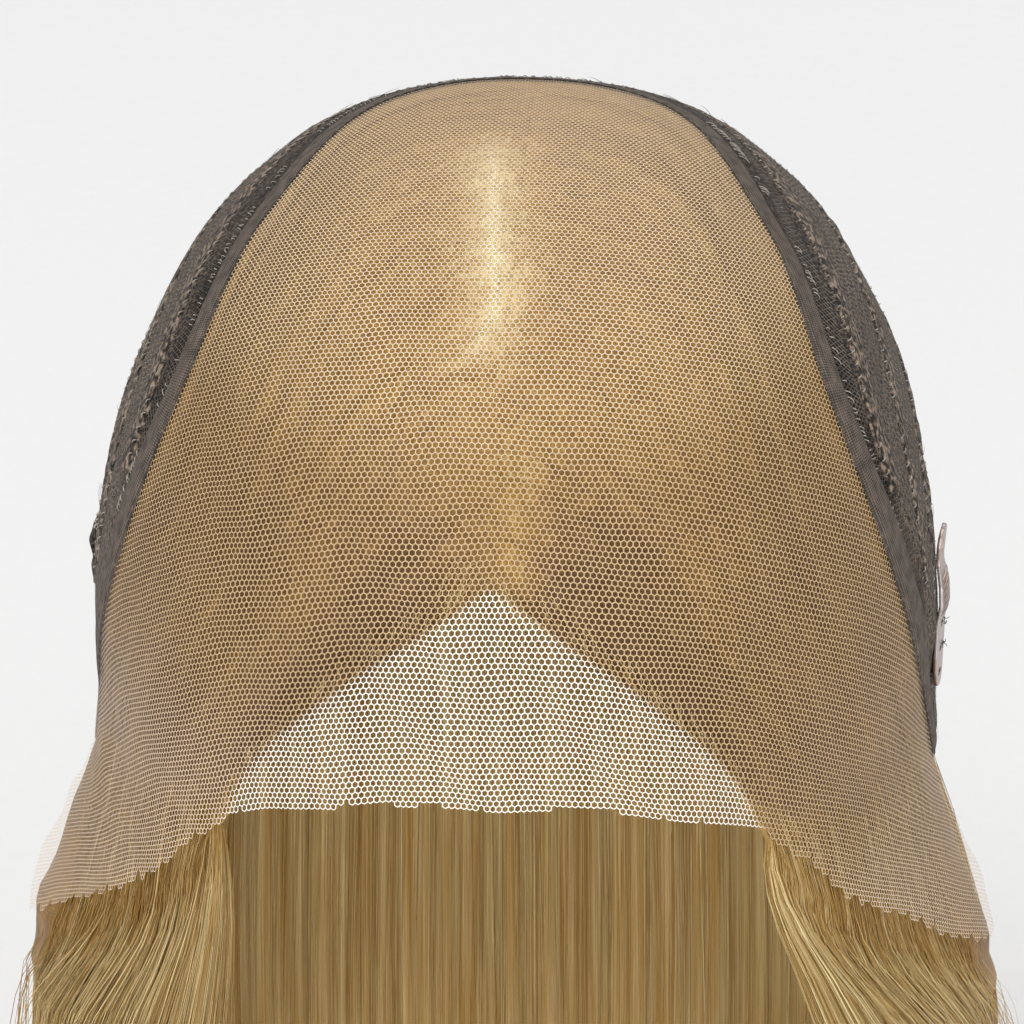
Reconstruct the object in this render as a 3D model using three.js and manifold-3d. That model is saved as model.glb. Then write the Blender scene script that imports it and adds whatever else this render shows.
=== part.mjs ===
// Lace-front wig of human hair, turned inside out: net side out, hair side in. Millimetres, +Z up, front
// facing -Y, origin at the top of the scalp that the wig sits on.
import * as THREE from "three";
import { mergeVertices } from "three/addons/utils/BufferGeometryUtils.js";
import Module from "manifold-3d";

const wasm = await Module();
wasm.setup();

// Layers, measured out from the outer face of the cap
const CAP_ABOVE_SCALP = 5.5;
const LACE_WALL = { inner: -1.0, outer: 0 };
const CAP_WALL = { inner: -1.2, outer: 0 };
const TAPE_WALL = { inner: 0.5, outer: 1.3 };
const WEFT_WALL = { inner: 0.6, outer: 1.5 };
const TAB_WALL = { inner: 1.9, outer: 3.6 };
const HAIR_WALL = { inner: -5.2, outer: -2.6 };

// Outer face of the cap, then of the hanging hair: rounded sections by their drop below the crown
const ROUNDNESS = 2.2;
const CENTRE = new THREE.Vector3(0, 0, CAP_ABOVE_SCALP - 85);
const FORM = [
  { drop: 0, side: 0, front: 0, back: 0 },
  { drop: 4, side: 29, front: 33, back: 36 },
  { drop: 14, side: 49, front: 59, back: 63 },
  { drop: 30, side: 63, front: 78, back: 81 },
  { drop: 52, side: 73.5, front: 90, back: 94 },
  { drop: 78, side: 79, front: 97, back: 99 },
  { drop: 104, side: 80.2, front: 99, back: 97 },
  { drop: 130, side: 83.8, front: 99, back: 88 },
  { drop: 156, side: 93.2, front: 98, back: 81 },
  { drop: 182, side: 99.5, front: 97, back: 79 },
  { drop: 235, side: 101.5, front: 96, back: 82 },
  { drop: 320, side: 100.5, front: 95, back: 84 },
];

// Lines on the cap's right half, from the middle outwards: turn from the front in degrees, drop
const FRONT_EDGE = [
  { turn: 0, drop: 80 },
  { turn: 12, drop: 81 },
  { turn: 21, drop: 86 },
  { turn: 29, drop: 91.5 },
  { turn: 34, drop: 99.5 },
  { turn: 45, drop: 117 },
  { turn: 57, drop: 132 },
  { turn: 68, drop: 146 },
  { turn: 78, drop: 157 },
  { turn: 84, drop: 164 },
];
const HAIRLINE = [
  { turn: 0, drop: 42 },
  { turn: 4, drop: 45.5 },
  { turn: 8, drop: 50 },
  { turn: 14, drop: 57 },
  { turn: 20, drop: 66 },
  { turn: 25, drop: 75 },
  { turn: 28.5, drop: 84 },
  { turn: 31.5, drop: 95 },
  { turn: 37, drop: 109 },
  { turn: 46, drop: 123 },
  { turn: 57, drop: 136 },
  { turn: 68, drop: 149 },
  { turn: 78, drop: 159 },
];
const SEAM = [
  { turn: 180, drop: 8.3 },
  { turn: 150, drop: 8.5 },
  { turn: 120, drop: 8.3 },
  { turn: 98, drop: 10 },
  { turn: 84, drop: 13.3 },
  { turn: 72, drop: 18.5 },
  { turn: 64, drop: 25.5 },
  { turn: 60.5, drop: 34 },
  { turn: 60, drop: 46 },
  { turn: 61.5, drop: 57 },
  { turn: 64, drop: 69 },
  { turn: 68, drop: 84 },
  { turn: 75, drop: 103 },
  { turn: 81, drop: 121 },
  { turn: 86, drop: 142 },
  { turn: 89, drop: 160 },
];
const CAP_FRONT = SEAM.slice(0, 14);
const NAPE = [
  { turn: 180, drop: 150 },
  { turn: 160, drop: 149 },
  { turn: 140, drop: 139 },
  { turn: 122, drop: 121 },
  { turn: 108, drop: 112 },
  { turn: 96, drop: 114 },
  { turn: 86, drop: 124 },
];

// Tape, weft tracks and the fabric tab
const TAPE = { near: -0.8, far: 5.6, stations: 52 };
const WEFT = { count: 8, width: 6, stations: 26, first: 0.13, last: 0.97, apart: 1.2 };
const EDGE_TAB = { turn: -91, drop: 88, long: 17, wide: 9, lean: 8, narrowing: 0.3 };

// Side clip: a flat steel plate along the cap, turned a little to the front and tipped out at its top
const CLIP = { long: 33, wide: 7, thick: 0.8, turn: 84, drop: 89, lean: 9, twist: 10, pitch: 2, lift: 1.95 };
const CLIP_HOLES = [
  { along: -13, radius: 0.9 },
  { along: -8, radius: 0.9 },
  { along: -3, radius: 0.9 },
];
const CLIP_SLOT = { from: 1.2, to: 14.2, wide: 3.2 };
const CLIP_RIBS = { count: 4, from: 2.4, pitch: 1.9, wide: 0.8, inset: 0.3, high: 1.3 };

// Hanging hair: locks over a range of turns, the radius that sets their width, how far their roots go under
// the cap, and how far and how fast their ends wander up and down
const HAIR_END = 300;
const LOCK_SIDES = 7;
const SIDE_LOCKS = { count: 6, from: 40, to: 91, radius: 108, root: 16, wander: 7, rate: 2.1 };
const RIGHT_LOCKS = { ...SIDE_LOCKS, from: 46 };
const BACK_LOCKS = { count: 9, from: 94.4, to: 265.6, radius: 106, root: 18, wander: 6, rate: 1.7 };
const LOCK_SINK = 0.5;
// A lock from root to tip: share of its length, thickness, share of its full width
const LOCK = [
  { along: 0, thick: 2.0, wide: 0.9 },
  { along: 0.12, thick: 2.6, wide: 1.0 },
  { along: 0.26, thick: 8.5, wide: 1.05 },
  { along: 0.6, thick: 10.5, wide: 1.05 },
  { along: 0.88, thick: 6.5, wide: 0.8 },
  { along: 0.98, thick: 2.4, wide: 0.35 },
];

const mix = (a, b, t) => a + (b - a) * t;

// A smooth run of samples through the rows of a table
function smooth(rows, before, steps) {
  const names = Object.keys(rows[0]);
  const last = rows.length - 1;
  const after = {};
  for (const name of names) {
    after[name] = 2 * rows[last][name] - rows[last - 1][name];
  }
  const all = [before, ...rows, after];
  const samples = [];
  for (let i = 1; i <= last; i++) {
    for (let step = 0; step < steps; step++) {
      const t = step / steps;
      const sample = {};
      for (const name of names) {
        const [a, b, c, d] = [all[i - 1][name], all[i][name], all[i + 1][name], all[i + 2][name]];
        const bend = (2 * a - 5 * b + 4 * c - d) * t * t + (3 * b - a - 3 * c + d) * t * t * t;
        sample[name] = 0.5 * (2 * b + (c - a) * t + bend);
      }
      samples.push(sample);
    }
  }
  samples.push(rows[last]);
  return samples;
}

const first = FORM[1];
const MIRRORED = { drop: first.drop, side: -first.side, front: -first.front, back: -first.back };
const SECTIONS = smooth(FORM, MIRRORED, 24);

// The rounded section at a drop below the crown
function sectionAt(drop) {
  let low = 0;
  let high = SECTIONS.length - 1;
  while (high - low > 1) {
    const middle = (low + high) >> 1;
    if (SECTIONS[middle].drop > drop) high = middle;
    else low = middle;
  }
  const [a, b] = [SECTIONS[low], SECTIONS[high]];
  const t = (drop - a.drop) / (b.drop - a.drop);
  return { side: mix(a.side, b.side, t), front: mix(a.front, b.front, t), back: mix(a.back, b.back, t) };
}

// The point of the cap's outer face at a turn from the front and a drop
function pointAt(turn, drop) {
  const angle = THREE.MathUtils.degToRad(turn);
  const section = sectionAt(drop);
  const across = Math.sin(angle);
  const ahead = Math.cos(angle);
  const depth = ahead > 0 ? section.front : section.back;
  const sum = Math.abs(across / section.side) ** ROUNDNESS + Math.abs(ahead / depth) ** ROUNDNESS;
  const radius = sum ** (-1 / ROUNDNESS);
  return new THREE.Vector3(radius * across, -radius * ahead, CAP_ABOVE_SCALP - drop);
}

function isInside(x, y, z) {
  const drop = CAP_ABOVE_SCALP - z;
  if (drop <= 0) return false;
  const section = sectionAt(drop);
  const depth = y < 0 ? section.front : section.back;
  return Math.abs(x / section.side) ** ROUNDNESS + Math.abs(y / depth) ** ROUNDNESS < 1;
}

// Where a line from the centre through a point meets the cap's outer face
function onForm(point) {
  const way = point.clone().sub(CENTRE).normalize();
  let near = 0;
  let far = 330;
  for (let i = 0; i < 40; i++) {
    const r = (near + far) / 2;
    if (isInside(CENTRE.x + way.x * r, CENTRE.y + way.y * r, CENTRE.z + way.z * r)) near = r;
    else far = r;
  }
  return way.multiplyScalar(near).add(CENTRE);
}

function normalAt(point) {
  const way = point.clone().sub(CENTRE).normalize();
  const aside = Math.abs(way.z) > 0.9 ? new THREE.Vector3(0, 1, 0) : new THREE.Vector3(0, 0, 1);
  const u = aside.cross(way).normalize();
  const v = way.clone().cross(u);
  const a = onForm(point.clone().addScaledVector(u, 0.6)).sub(onForm(point.clone().addScaledVector(u, -0.6)));
  const b = onForm(point.clone().addScaledVector(v, 0.6)).sub(onForm(point.clone().addScaledVector(v, -0.6)));
  return a.cross(b).normalize();
}

// A line of the table mirrored to both halves: -1 at its left end, 0 at the middle, 1 at its right end
function bothHalves(table) {
  const start = table[0];
  const next = table[1];
  const before = { turn: 2 * start.turn - next.turn, drop: next.drop };
  const points = smooth(table, before, 16).map((row) => pointAt(row.turn, row.drop));
  const reach = [0];
  for (let i = 1; i < points.length; i++) {
    reach.push(reach[i - 1] + points[i].distanceTo(points[i - 1]));
  }
  const whole = reach[reach.length - 1];
  return (t) => {
    const along = Math.min(1, Math.abs(t)) * whole;
    let i = 1;
    while (i < reach.length - 1 && reach[i] < along) i++;
    const share = (along - reach[i - 1]) / (reach[i] - reach[i - 1]);
    const point = points[i - 1].clone().lerp(points[i], share);
    if (t < 0) point.x = -point.x;
    return point;
  };
}

// The line a share of the way from one line of the cap to another
function between(lineA, lineB, share) {
  return (t) => onForm(lineA(t).lerp(lineB(t), share));
}

// The least distance from a point to the right half of a line
function distanceTo(line, point) {
  let least = Infinity;
  for (let t = 0; t <= 1; t += 0.01) {
    least = Math.min(least, line(t).distanceTo(point));
  }
  return least;
}

// A closed geometry from points and triangles, turned to face out
function closed(points, triangles) {
  let volume = 0;
  for (let i = 0; i < triangles.length; i += 3) {
    const [a, b, c] = [points[triangles[i]], points[triangles[i + 1]], points[triangles[i + 2]]];
    volume += a.dot(b.clone().cross(c));
  }
  if (volume < 0) {
    triangles.reverse();
  }
  const geometry = new THREE.BufferGeometry().setFromPoints(points);
  geometry.setIndex(triangles);
  return geometry;
}

// A wall on a grid of stations, each holding an outer and an inner point
function wallFrom(rows, columns, station) {
  const points = [];
  for (let i = 0; i <= rows; i++) {
    for (let j = 0; j <= columns; j++) {
      points.push(...station(i / rows, j / columns));
    }
  }
  const triangles = [];
  const quad = (a, b, c, d) => triangles.push(a, b, c, a, c, d);
  const at = (i, j, inner) => 2 * (i * (columns + 1) + j) + inner;
  for (let i = 0; i < rows; i++) {
    for (let j = 0; j < columns; j++) {
      quad(at(i, j, 0), at(i, j + 1, 0), at(i + 1, j + 1, 0), at(i + 1, j, 0));
      quad(at(i, j, 1), at(i + 1, j, 1), at(i + 1, j + 1, 1), at(i, j + 1, 1));
    }
  }
  for (let j = 0; j < columns; j++) {
    quad(at(0, j, 0), at(0, j, 1), at(0, j + 1, 1), at(0, j + 1, 0));
    quad(at(rows, j, 0), at(rows, j + 1, 0), at(rows, j + 1, 1), at(rows, j, 1));
  }
  for (let i = 0; i < rows; i++) {
    quad(at(i, 0, 0), at(i + 1, 0, 0), at(i + 1, 0, 1), at(i, 0, 1));
    quad(at(i, columns, 0), at(i, columns, 1), at(i + 1, columns, 1), at(i + 1, columns, 0));
  }
  return closed(points, triangles);
}

const layered = (point, normal, wall) => [
  point.clone().addScaledVector(normal, wall.outer),
  point.clone().addScaledVector(normal, wall.inner),
];

// Cloth between two lines of the cap
function panel(lineA, lineB, shares, ends, rows, columns, wall) {
  return wallFrom(rows, columns, (k, s) => {
    const t = mix(ends.from, ends.to, s);
    const share = mix(shares.from, shares.to, k);
    const point = onForm(lineA(t).lerp(lineB(t), share));
    return layered(point, normalAt(point), wall);
  });
}

// A ribbon along a line of the cap, from one side of the line to the other
function ribbon(line, ends, stations, near, far, wall) {
  return wallFrom(1, stations, (k, s) => {
    const t = mix(ends.from, ends.to, s);
    const point = line(t);
    const along = line(t + 0.004).sub(line(t - 0.004)).normalize();
    const across = normalAt(point).cross(along).normalize();
    const shifted = onForm(point.addScaledVector(across, mix(near, far, k)));
    return layered(shifted, normalAt(shifted), wall);
  });
}

function solid(geometry) {
  const bare = new THREE.BufferGeometry().setAttribute("position", geometry.getAttribute("position"));
  bare.setIndex(geometry.index);
  const merged = mergeVertices(bare, 1e-4);
  return new wasm.Manifold(
    new wasm.Mesh({
      numProp: 3,
      vertProperties: merged.getAttribute("position").array,
      triVerts: new Uint32Array(merged.index.array),
    }),
  );
}

function geometryOf(made) {
  const mesh = made.getMesh();
  const geometry = new THREE.BufferGeometry();
  geometry.setAttribute("position", new THREE.BufferAttribute(mesh.vertProperties, 3));
  geometry.setIndex(new THREE.BufferAttribute(mesh.triVerts, 1));
  return geometry;
}

// One hanging lock: rounded sections from its root under the cap to its tip
function lock(turn, start, end, width) {
  const points = [];
  const rows = [...LOCK, { along: 1, thick: 0, wide: 0 }];
  for (const row of rows) {
    const drop = mix(start, end, row.along);
    const outer = pointAt(turn, drop);
    const ahead = pointAt(turn + 1, drop).sub(pointAt(turn - 1, drop)).normalize();
    const inward = new THREE.Vector3(0, 0, 1).cross(ahead).normalize();
    if (inward.dot(outer) > 0) inward.negate();
    const middle = outer.addScaledVector(inward, LOCK_SINK - HAIR_WALL.outer + row.thick / 2);
    if (row.thick === 0) {
      points.push(middle);
      continue;
    }
    for (let n = 0; n < LOCK_SIDES; n++) {
      const angle = (2 * Math.PI * n) / LOCK_SIDES;
      const point = middle.clone();
      point.addScaledVector(ahead, (Math.cos(angle) * width * row.wide) / 2);
      point.addScaledVector(inward, (Math.sin(angle) * row.thick) / 2);
      points.push(point);
    }
  }
  const triangles = [];
  for (let i = 0; i < LOCK.length - 1; i++) {
    for (let n = 0; n < LOCK_SIDES; n++) {
      const m = (n + 1) % LOCK_SIDES;
      const [a, b] = [i * LOCK_SIDES + n, i * LOCK_SIDES + m];
      triangles.push(a, b, b + LOCK_SIDES, a, b + LOCK_SIDES, a + LOCK_SIDES);
    }
  }
  const tip = points.length - 1;
  const lastRing = (LOCK.length - 1) * LOCK_SIDES;
  for (let n = 0; n < LOCK_SIDES; n++) {
    const m = (n + 1) % LOCK_SIDES;
    triangles.push(lastRing + n, lastRing + m, tip);
    if (n > 0 && n < LOCK_SIDES - 1) triangles.push(0, m, n);
  }
  return solid(closed(points, triangles));
}

// The drop of a line's table at a turn
function dropAt(table, turn) {
  for (let i = 1; i < table.length; i++) {
    const [a, b] = [table[i - 1], table[i]];
    const share = (turn - a.turn) / (b.turn - a.turn);
    if (share >= 0 && share <= 1) return mix(a.drop, b.drop, share);
  }
  return table[table.length - 1].drop;
}

const frontEdge = bothHalves(FRONT_EDGE);
const hairline = bothHalves(HAIRLINE);
const seam = bothHalves(SEAM);
const capFront = bothHalves(CAP_FRONT);
const nape = bothHalves(NAPE);
const HALVES = { from: -1, to: 1 };

const group = new THREE.Group();
function add(name, geometry, colour, roughness, metalness) {
  const material = new THREE.MeshStandardMaterial({ color: colour, roughness, metalness });
  const mesh = new THREE.Mesh(geometry, material);
  mesh.name = name;
  group.add(mesh);
}

// Lace front and back cap, with a narrow gap along the seam
add("lace_front", panel(frontEdge, seam, { from: 0, to: 0.995 }, HALVES, 12, 38, LACE_WALL), "#d8c2a0", 0.9, 0);
add("cap_back", panel(capFront, nape, { from: 0.008, to: 1 }, HALVES, 10, 32, CAP_WALL), "#37312c", 0.95, 0);

// Tape over the seam
const tapeEnds = { from: -0.985, to: 0.985 };
add("seam_tape", ribbon(capFront, tapeEnds, TAPE.stations, TAPE.near, TAPE.far, TAPE_WALL), "#5b5149", 0.85, 0);

// Weft tracks from behind the tape to the nape, each ending where it would run into the one before it
let ahead = capFront;
let room = TAPE.far + WEFT.width / 2 + WEFT.apart;
for (let n = 0; n < WEFT.count; n++) {
  const share = mix(WEFT.first, WEFT.last, n / (WEFT.count - 1));
  const line = between(capFront, nape, share);
  let reach = 0.98;
  while (distanceTo(ahead, line(reach)) < room) {
    reach -= 0.01;
  }
  const ends = { from: -reach, to: reach };
  ahead = line;
  room = WEFT.width + WEFT.apart;
  const track = ribbon(line, ends, WEFT.stations, -WEFT.width / 2, WEFT.width / 2, WEFT_WALL);
  add(`weft_${String(n + 1).padStart(2, "0")}`, track, "#4a423b", 0.95, 0);
}

// Fabric tab at the left edge
const tabLean = THREE.MathUtils.degToRad(EDGE_TAB.lean);
const tabCentre = pointAt(EDGE_TAB.turn, EDGE_TAB.drop);
const tabShape = wallFrom(4, 4, (k, s) => {
  const along = (k - 0.5) * EDGE_TAB.long;
  const across = (s - 0.5) * EDGE_TAB.wide * (1 - EDGE_TAB.narrowing * (2 * k - 1) ** 2);
  const y = across * Math.cos(tabLean) - along * Math.sin(tabLean);
  const z = along * Math.cos(tabLean) + across * Math.sin(tabLean);
  const point = onForm(tabCentre.clone().add(new THREE.Vector3(0, y, z)));
  return layered(point, normalAt(point), TAB_WALL);
});
add("edge_tab", tabShape, "#2f2a26", 0.95, 0);

// Side clip: plate with sewing holes below and a ribbed slot above
const half = CLIP.wide / 2;
const straight = CLIP.long / 2 - half;
const plate = new THREE.Shape();
plate.moveTo(half, -straight);
plate.lineTo(half, straight);
plate.absarc(0, straight, half, 0, Math.PI, false);
plate.lineTo(-half, -straight);
plate.absarc(0, -straight, half, Math.PI, 2 * Math.PI, false);
for (const hole of CLIP_HOLES) {
  const ring = new THREE.Path();
  ring.absarc(0, hole.along, hole.radius, 0, 2 * Math.PI, true);
  plate.holes.push(ring);
}
let clip = solid(new THREE.ExtrudeGeometry(plate, { depth: CLIP.thick, bevelEnabled: false, curveSegments: 8 }));
const slotLong = CLIP_SLOT.to - CLIP_SLOT.from;
const slot = new THREE.BoxGeometry(CLIP_SLOT.wide, slotLong, 4);
slot.translate(0, CLIP_SLOT.from + slotLong / 2, CLIP.thick / 2);
clip = clip.subtract(solid(slot));
for (let n = 0; n < CLIP_RIBS.count; n++) {
  const rib = new THREE.BoxGeometry(CLIP.wide - 2 * CLIP_RIBS.inset, CLIP_RIBS.wide, CLIP_RIBS.high);
  rib.translate(0, CLIP_RIBS.from + n * CLIP_RIBS.pitch, CLIP_RIBS.high / 2);
  clip = clip.add(solid(rib));
}
const clipSpot = pointAt(CLIP.turn, CLIP.drop);
const clipOut = normalAt(clipSpot);
clipSpot.addScaledVector(clipOut, CLIP.lift);
const clipLean = THREE.MathUtils.degToRad(CLIP.lean);
const clipTip = Math.tan(THREE.MathUtils.degToRad(CLIP.pitch));
const clipUp = new THREE.Vector3(0, Math.sin(clipLean), Math.cos(clipLean));
clipUp.addScaledVector(clipOut, clipTip - clipUp.dot(clipOut)).normalize();
clipOut.addScaledVector(clipUp, -clipOut.dot(clipUp)).normalize();
clipOut.applyAxisAngle(clipUp, THREE.MathUtils.degToRad(-CLIP.twist));
const clipAcross = clipUp.clone().cross(clipOut);
const clipPlace = new THREE.Matrix4().makeBasis(clipAcross, clipUp, clipOut);
clipPlace.setPosition(clipSpot);
add("side_clip", geometryOf(clip).applyMatrix4(clipPlace), "#b9a9a4", 0.3, 1);

// Hair: a lining under the cap with locks that hang from it, without the pinholes shut in between them
function hair(lining, locks) {
  let made = solid(lining);
  for (const one of locks) {
    made = made.add(one);
  }
  const bodies = made.decompose();
  bodies.sort((a, b) => b.volume() - a.volume());
  return geometryOf(bodies[0]);
}
function locksOf(set, way, edge) {
  const step = (set.to - set.from) / set.count;
  const width = THREE.MathUtils.degToRad(step) * set.radius;
  const locks = [];
  for (let n = 0; n < set.count; n++) {
    const turn = set.from + step * (n + 0.5);
    const start = dropAt(edge, Math.min(turn, 360 - turn)) - set.root;
    const end = HAIR_END + set.wander * Math.sin(set.rate * n + way);
    locks.push(lock(way * turn, start, end, width));
  }
  return locks;
}
for (const [name, way, set] of [["hair_left", -1, SIDE_LOCKS], ["hair_right", 1, RIGHT_LOCKS]]) {
  const ends = { from: way * 0.006, to: way * 0.985 };
  const lining = panel(hairline, seam, { from: 0, to: 0.985 }, ends, 8, 14, HAIR_WALL);
  add(name, hair(lining, locksOf(set, way, HAIRLINE)), "#a9854b", 0.55, 0);
}
const backLining = panel(capFront, nape, { from: 0.02, to: 1 }, { from: -0.95, to: 0.95 }, 7, 18, HAIR_WALL);
add("hair_back", hair(backLining, locksOf(BACK_LOCKS, 1, NAPE)), "#8a6a3c", 0.55, 0);

export default group;
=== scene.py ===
import math

import bpy
import numpy as np
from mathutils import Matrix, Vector


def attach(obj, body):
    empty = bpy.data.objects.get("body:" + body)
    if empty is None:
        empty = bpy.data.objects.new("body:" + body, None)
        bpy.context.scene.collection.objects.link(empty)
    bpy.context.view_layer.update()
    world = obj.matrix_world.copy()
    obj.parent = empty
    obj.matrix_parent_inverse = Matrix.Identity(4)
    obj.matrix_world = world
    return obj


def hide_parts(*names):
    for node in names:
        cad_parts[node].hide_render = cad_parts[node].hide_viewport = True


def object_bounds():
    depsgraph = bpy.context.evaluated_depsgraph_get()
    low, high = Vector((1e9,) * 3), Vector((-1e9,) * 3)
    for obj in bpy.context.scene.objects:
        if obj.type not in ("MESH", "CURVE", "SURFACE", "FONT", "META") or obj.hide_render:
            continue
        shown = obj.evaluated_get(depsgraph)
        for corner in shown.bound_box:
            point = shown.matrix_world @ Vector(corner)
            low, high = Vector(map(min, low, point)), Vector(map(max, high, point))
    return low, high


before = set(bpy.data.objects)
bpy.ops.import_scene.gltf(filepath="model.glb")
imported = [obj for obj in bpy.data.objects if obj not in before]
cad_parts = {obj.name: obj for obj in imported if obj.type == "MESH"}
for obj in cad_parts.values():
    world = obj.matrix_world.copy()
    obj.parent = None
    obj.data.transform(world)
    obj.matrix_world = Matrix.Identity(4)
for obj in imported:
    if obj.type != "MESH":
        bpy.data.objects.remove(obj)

bl_info = {
    "name": "Inside-out lace wig",
    "version": (1, 0, 0),
    "blender": (4, 5, 0),
    "location": "View3D > Sidebar > Wig",
    "description": "Lace, cap, tape, wefts, clip and hair of a lace-front wig shown net side out",
    "category": "Object",
}

CAD_BOX = [list(corner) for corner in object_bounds()]
MM = 0.001

# Form of the cap and the hanging hair, as in the part's source: drop below the crown, side, front, back
CROWN_HEIGHT = 5.5
ROUNDNESS = 2.2
CENTRE = np.array([0.0, 0.0, CROWN_HEIGHT - 85])
FORM = [
    (0, 0, 0, 0),
    (4, 29, 33, 36),
    (14, 49, 59, 63),
    (30, 63, 78, 81),
    (52, 73.5, 90, 94),
    (78, 79, 97, 99),
    (104, 80.2, 99, 97),
    (130, 83.8, 99, 88),
    (156, 93.2, 98, 81),
    (182, 99.5, 97, 79),
    (235, 101.5, 96, 82),
    (320, 100.5, 95, 84),
]

# Lines on the cap's right half, from the middle outwards: turn from the front in degrees, drop
FRONT_EDGE = [
    (0, 80), (12, 81), (21, 86), (29, 91.5), (34, 99.5),
    (45, 117), (57, 132), (68, 146), (78, 157), (84, 164),
]
HAIRLINE = [
    (0, 42), (4, 45.5), (8, 50), (14, 57), (20, 66), (25, 75), (28.5, 84),
    (31.5, 95), (37, 109), (46, 123), (57, 136), (68, 149), (78, 159),
]
SEAM = [
    (180, 8.3), (150, 8.5), (120, 8.3), (98, 10), (84, 13.3), (72, 18.5), (64, 25.5), (60.5, 34),
    (60, 46), (61.5, 57), (64, 69), (68, 84), (75, 103), (81, 121), (86, 142), (89, 160),
]
CAP_FRONT = SEAM[:14]
NAPE = [(180, 150), (160, 149), (140, 139), (122, 121), (108, 112), (96, 114), (86, 124)]
# Where the hair comes out under the edge of the ear tab, from its front corner to the seam
TAB_EXIT = [(33, 98), (37, 109), (46, 123), (57, 136), (68, 149), (78, 158.5), (88, 160.5)]

# Tape, wefts, tab and clip, as in the part's source, but with the clip a little closer and flatter
TAPE_NEAR, TAPE_FAR, TAPE_ENDS = -0.8, 5.6, 0.985
WEFT_COUNT, WEFT_WIDTH, WEFT_APART = 8, 6.0, 1.2
WEFT_FIRST, WEFT_LAST = 0.13, 0.97
TAB_TURN, TAB_DROP, TAB_LONG, TAB_WIDE, TAB_LEAN, TAB_NARROWING = -91, 88, 17.0, 9.0, 8, 0.3
CLIP_WIDE, CLIP_THICK = 7.0, 0.8
CLIP_TURN, CLIP_DROP, CLIP_LIFT = 84, 89, 1.4
CLIP_LEAN, CLIP_TWIST, CLIP_PITCH = 9, 10, 0.6

# The clip from its sewn end to its loop: along, half its width, how far it is bent out
CLIP_SHAPE = [
    (-16.5, 0.3, 0), (-16.2, 1.1, 0), (-15.3, 2.0, 0), (-13.5, 2.7, 0), (-10, 3.1, 0), (-3, 3.3, 0.1),
    (1, 3.5, 0.8), (4.5, 3.3, 0.6), (7, 2.6, 0.1), (8.8, 2.1, -0.3), (10, 2.1, -0.4), (12.5, 2.5, -0.3),
    (14.6, 2.2, -0.1), (16, 1.2, 0.1), (16.5, 0.3, 0.1),
]
# Places and radius of its sewing holes, and half width, half length and place of the slot in its loop
CLIP_HOLES, CLIP_HOLE = (-13.6, -8.6, -3.6), 0.9
CLIP_SLOT = (0.95, 2.1, 12.4)

# Turns between which each side's hair hangs, on the left (-1) and on the right (1)
HANGING_FROM, HANGING_TO = {-1: 37, 1: 46}, 91
# Share of each ear tab that is bare along its outer edge
BARE_FLAP = {-1: 0.16, 1: 0.12}
# Drops of the hair's ends: of the combed sheets, then of strands as their middle, spread, least and most
SIDE_END, BACK_END = 282, 281
SIDE_STRAND_ENDS, BACK_STRAND_ENDS = (289, 7, 262, 301), (287, 7, 260, 300)
LONGEST = 303
# Strands on each side that show under the lace and along the hairline
ROOT_STRANDS, FRINGE_STRANDS = 340, 240

# Materials that more than one step uses
KNIT = "Brushed polyester knit"
PALE_THREAD = "Polyester sewing thread, pale"
DARK_THREAD = "Polyester sewing thread, dark"


def through(rows, before, steps):
    """A smooth run of samples through the rows of a table."""
    rows = np.asarray(rows, float)
    ends = np.vstack([before, rows, 2 * rows[-1] - rows[-2]])
    spans = len(rows) - 1
    a, b, c, d = (ends[i : i + spans, None] for i in range(4))
    t = (np.arange(steps) / steps)[None, :, None]
    bend = (2 * a - 5 * b + 4 * c - d) * t**2 + (3 * b - a - 3 * c + d) * t**3
    samples = 0.5 * (2 * b + (c - a) * t + bend)
    return np.vstack([samples.reshape(-1, rows.shape[1]), rows[-1]])


SECTIONS = through(FORM, (4, -29, -33, -36), 24)


def section(drop):
    """Side, front and back of the form at a drop below the crown."""
    return [np.interp(drop, SECTIONS[:, 0], SECTIONS[:, i]) for i in (1, 2, 3)]


def unit(vectors):
    return vectors / np.maximum(np.linalg.norm(vectors, axis=-1, keepdims=True), 1e-12)


def ease(low, high, x):
    """0 before low, 1 after high, smooth between them."""
    t = np.clip((x - low) / (high - low), 0, 1)
    return t * t * (3 - 2 * t)


def mix(a, b, t):
    return a + (b - a) * t


def point_at(turn, drop):
    """The point of the form at a turn from the front and a drop."""
    angle, drop = np.broadcast_arrays(np.radians(turn), np.asarray(drop, float))
    side, front, back = section(drop)
    across, ahead = np.sin(angle), np.cos(angle)
    depth = np.where(ahead > 0, front, back)
    side, depth = np.maximum(side, 1e-9), np.maximum(depth, 1e-9)
    radius = (np.abs(across / side) ** ROUNDNESS + np.abs(ahead / depth) ** ROUNDNESS) ** (-1 / ROUNDNESS)
    return np.stack([radius * across, -radius * ahead, CROWN_HEIGHT - drop], -1)


def drop_of(points):
    return CROWN_HEIGHT - points[..., 2]


def turn_and_drop(points):
    return np.degrees(np.arctan2(points[..., 0], -points[..., 1])), drop_of(points)


def is_inside(points):
    drop = drop_of(points)
    side, front, back = section(drop)
    depth = np.where(points[..., 1] < 0, front, back)
    x = np.abs(points[..., 0]) / np.maximum(side, 1e-9)
    y = np.abs(points[..., 1]) / np.maximum(depth, 1e-9)
    return (drop > 0) & (x**ROUNDNESS + y**ROUNDNESS < 1)


def reach(starts, ways, far):
    """How far each way goes from a start inside the form until it leaves it."""
    near = np.zeros(np.broadcast_shapes(starts.shape, ways.shape)[:-1])
    far = np.full(near.shape, float(far))
    for _ in range(26):
        middle = (near + far) / 2
        held = is_inside(starts + ways * middle[..., None])
        near, far = np.where(held, middle, near), np.where(held, far, middle)
    return near


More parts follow.
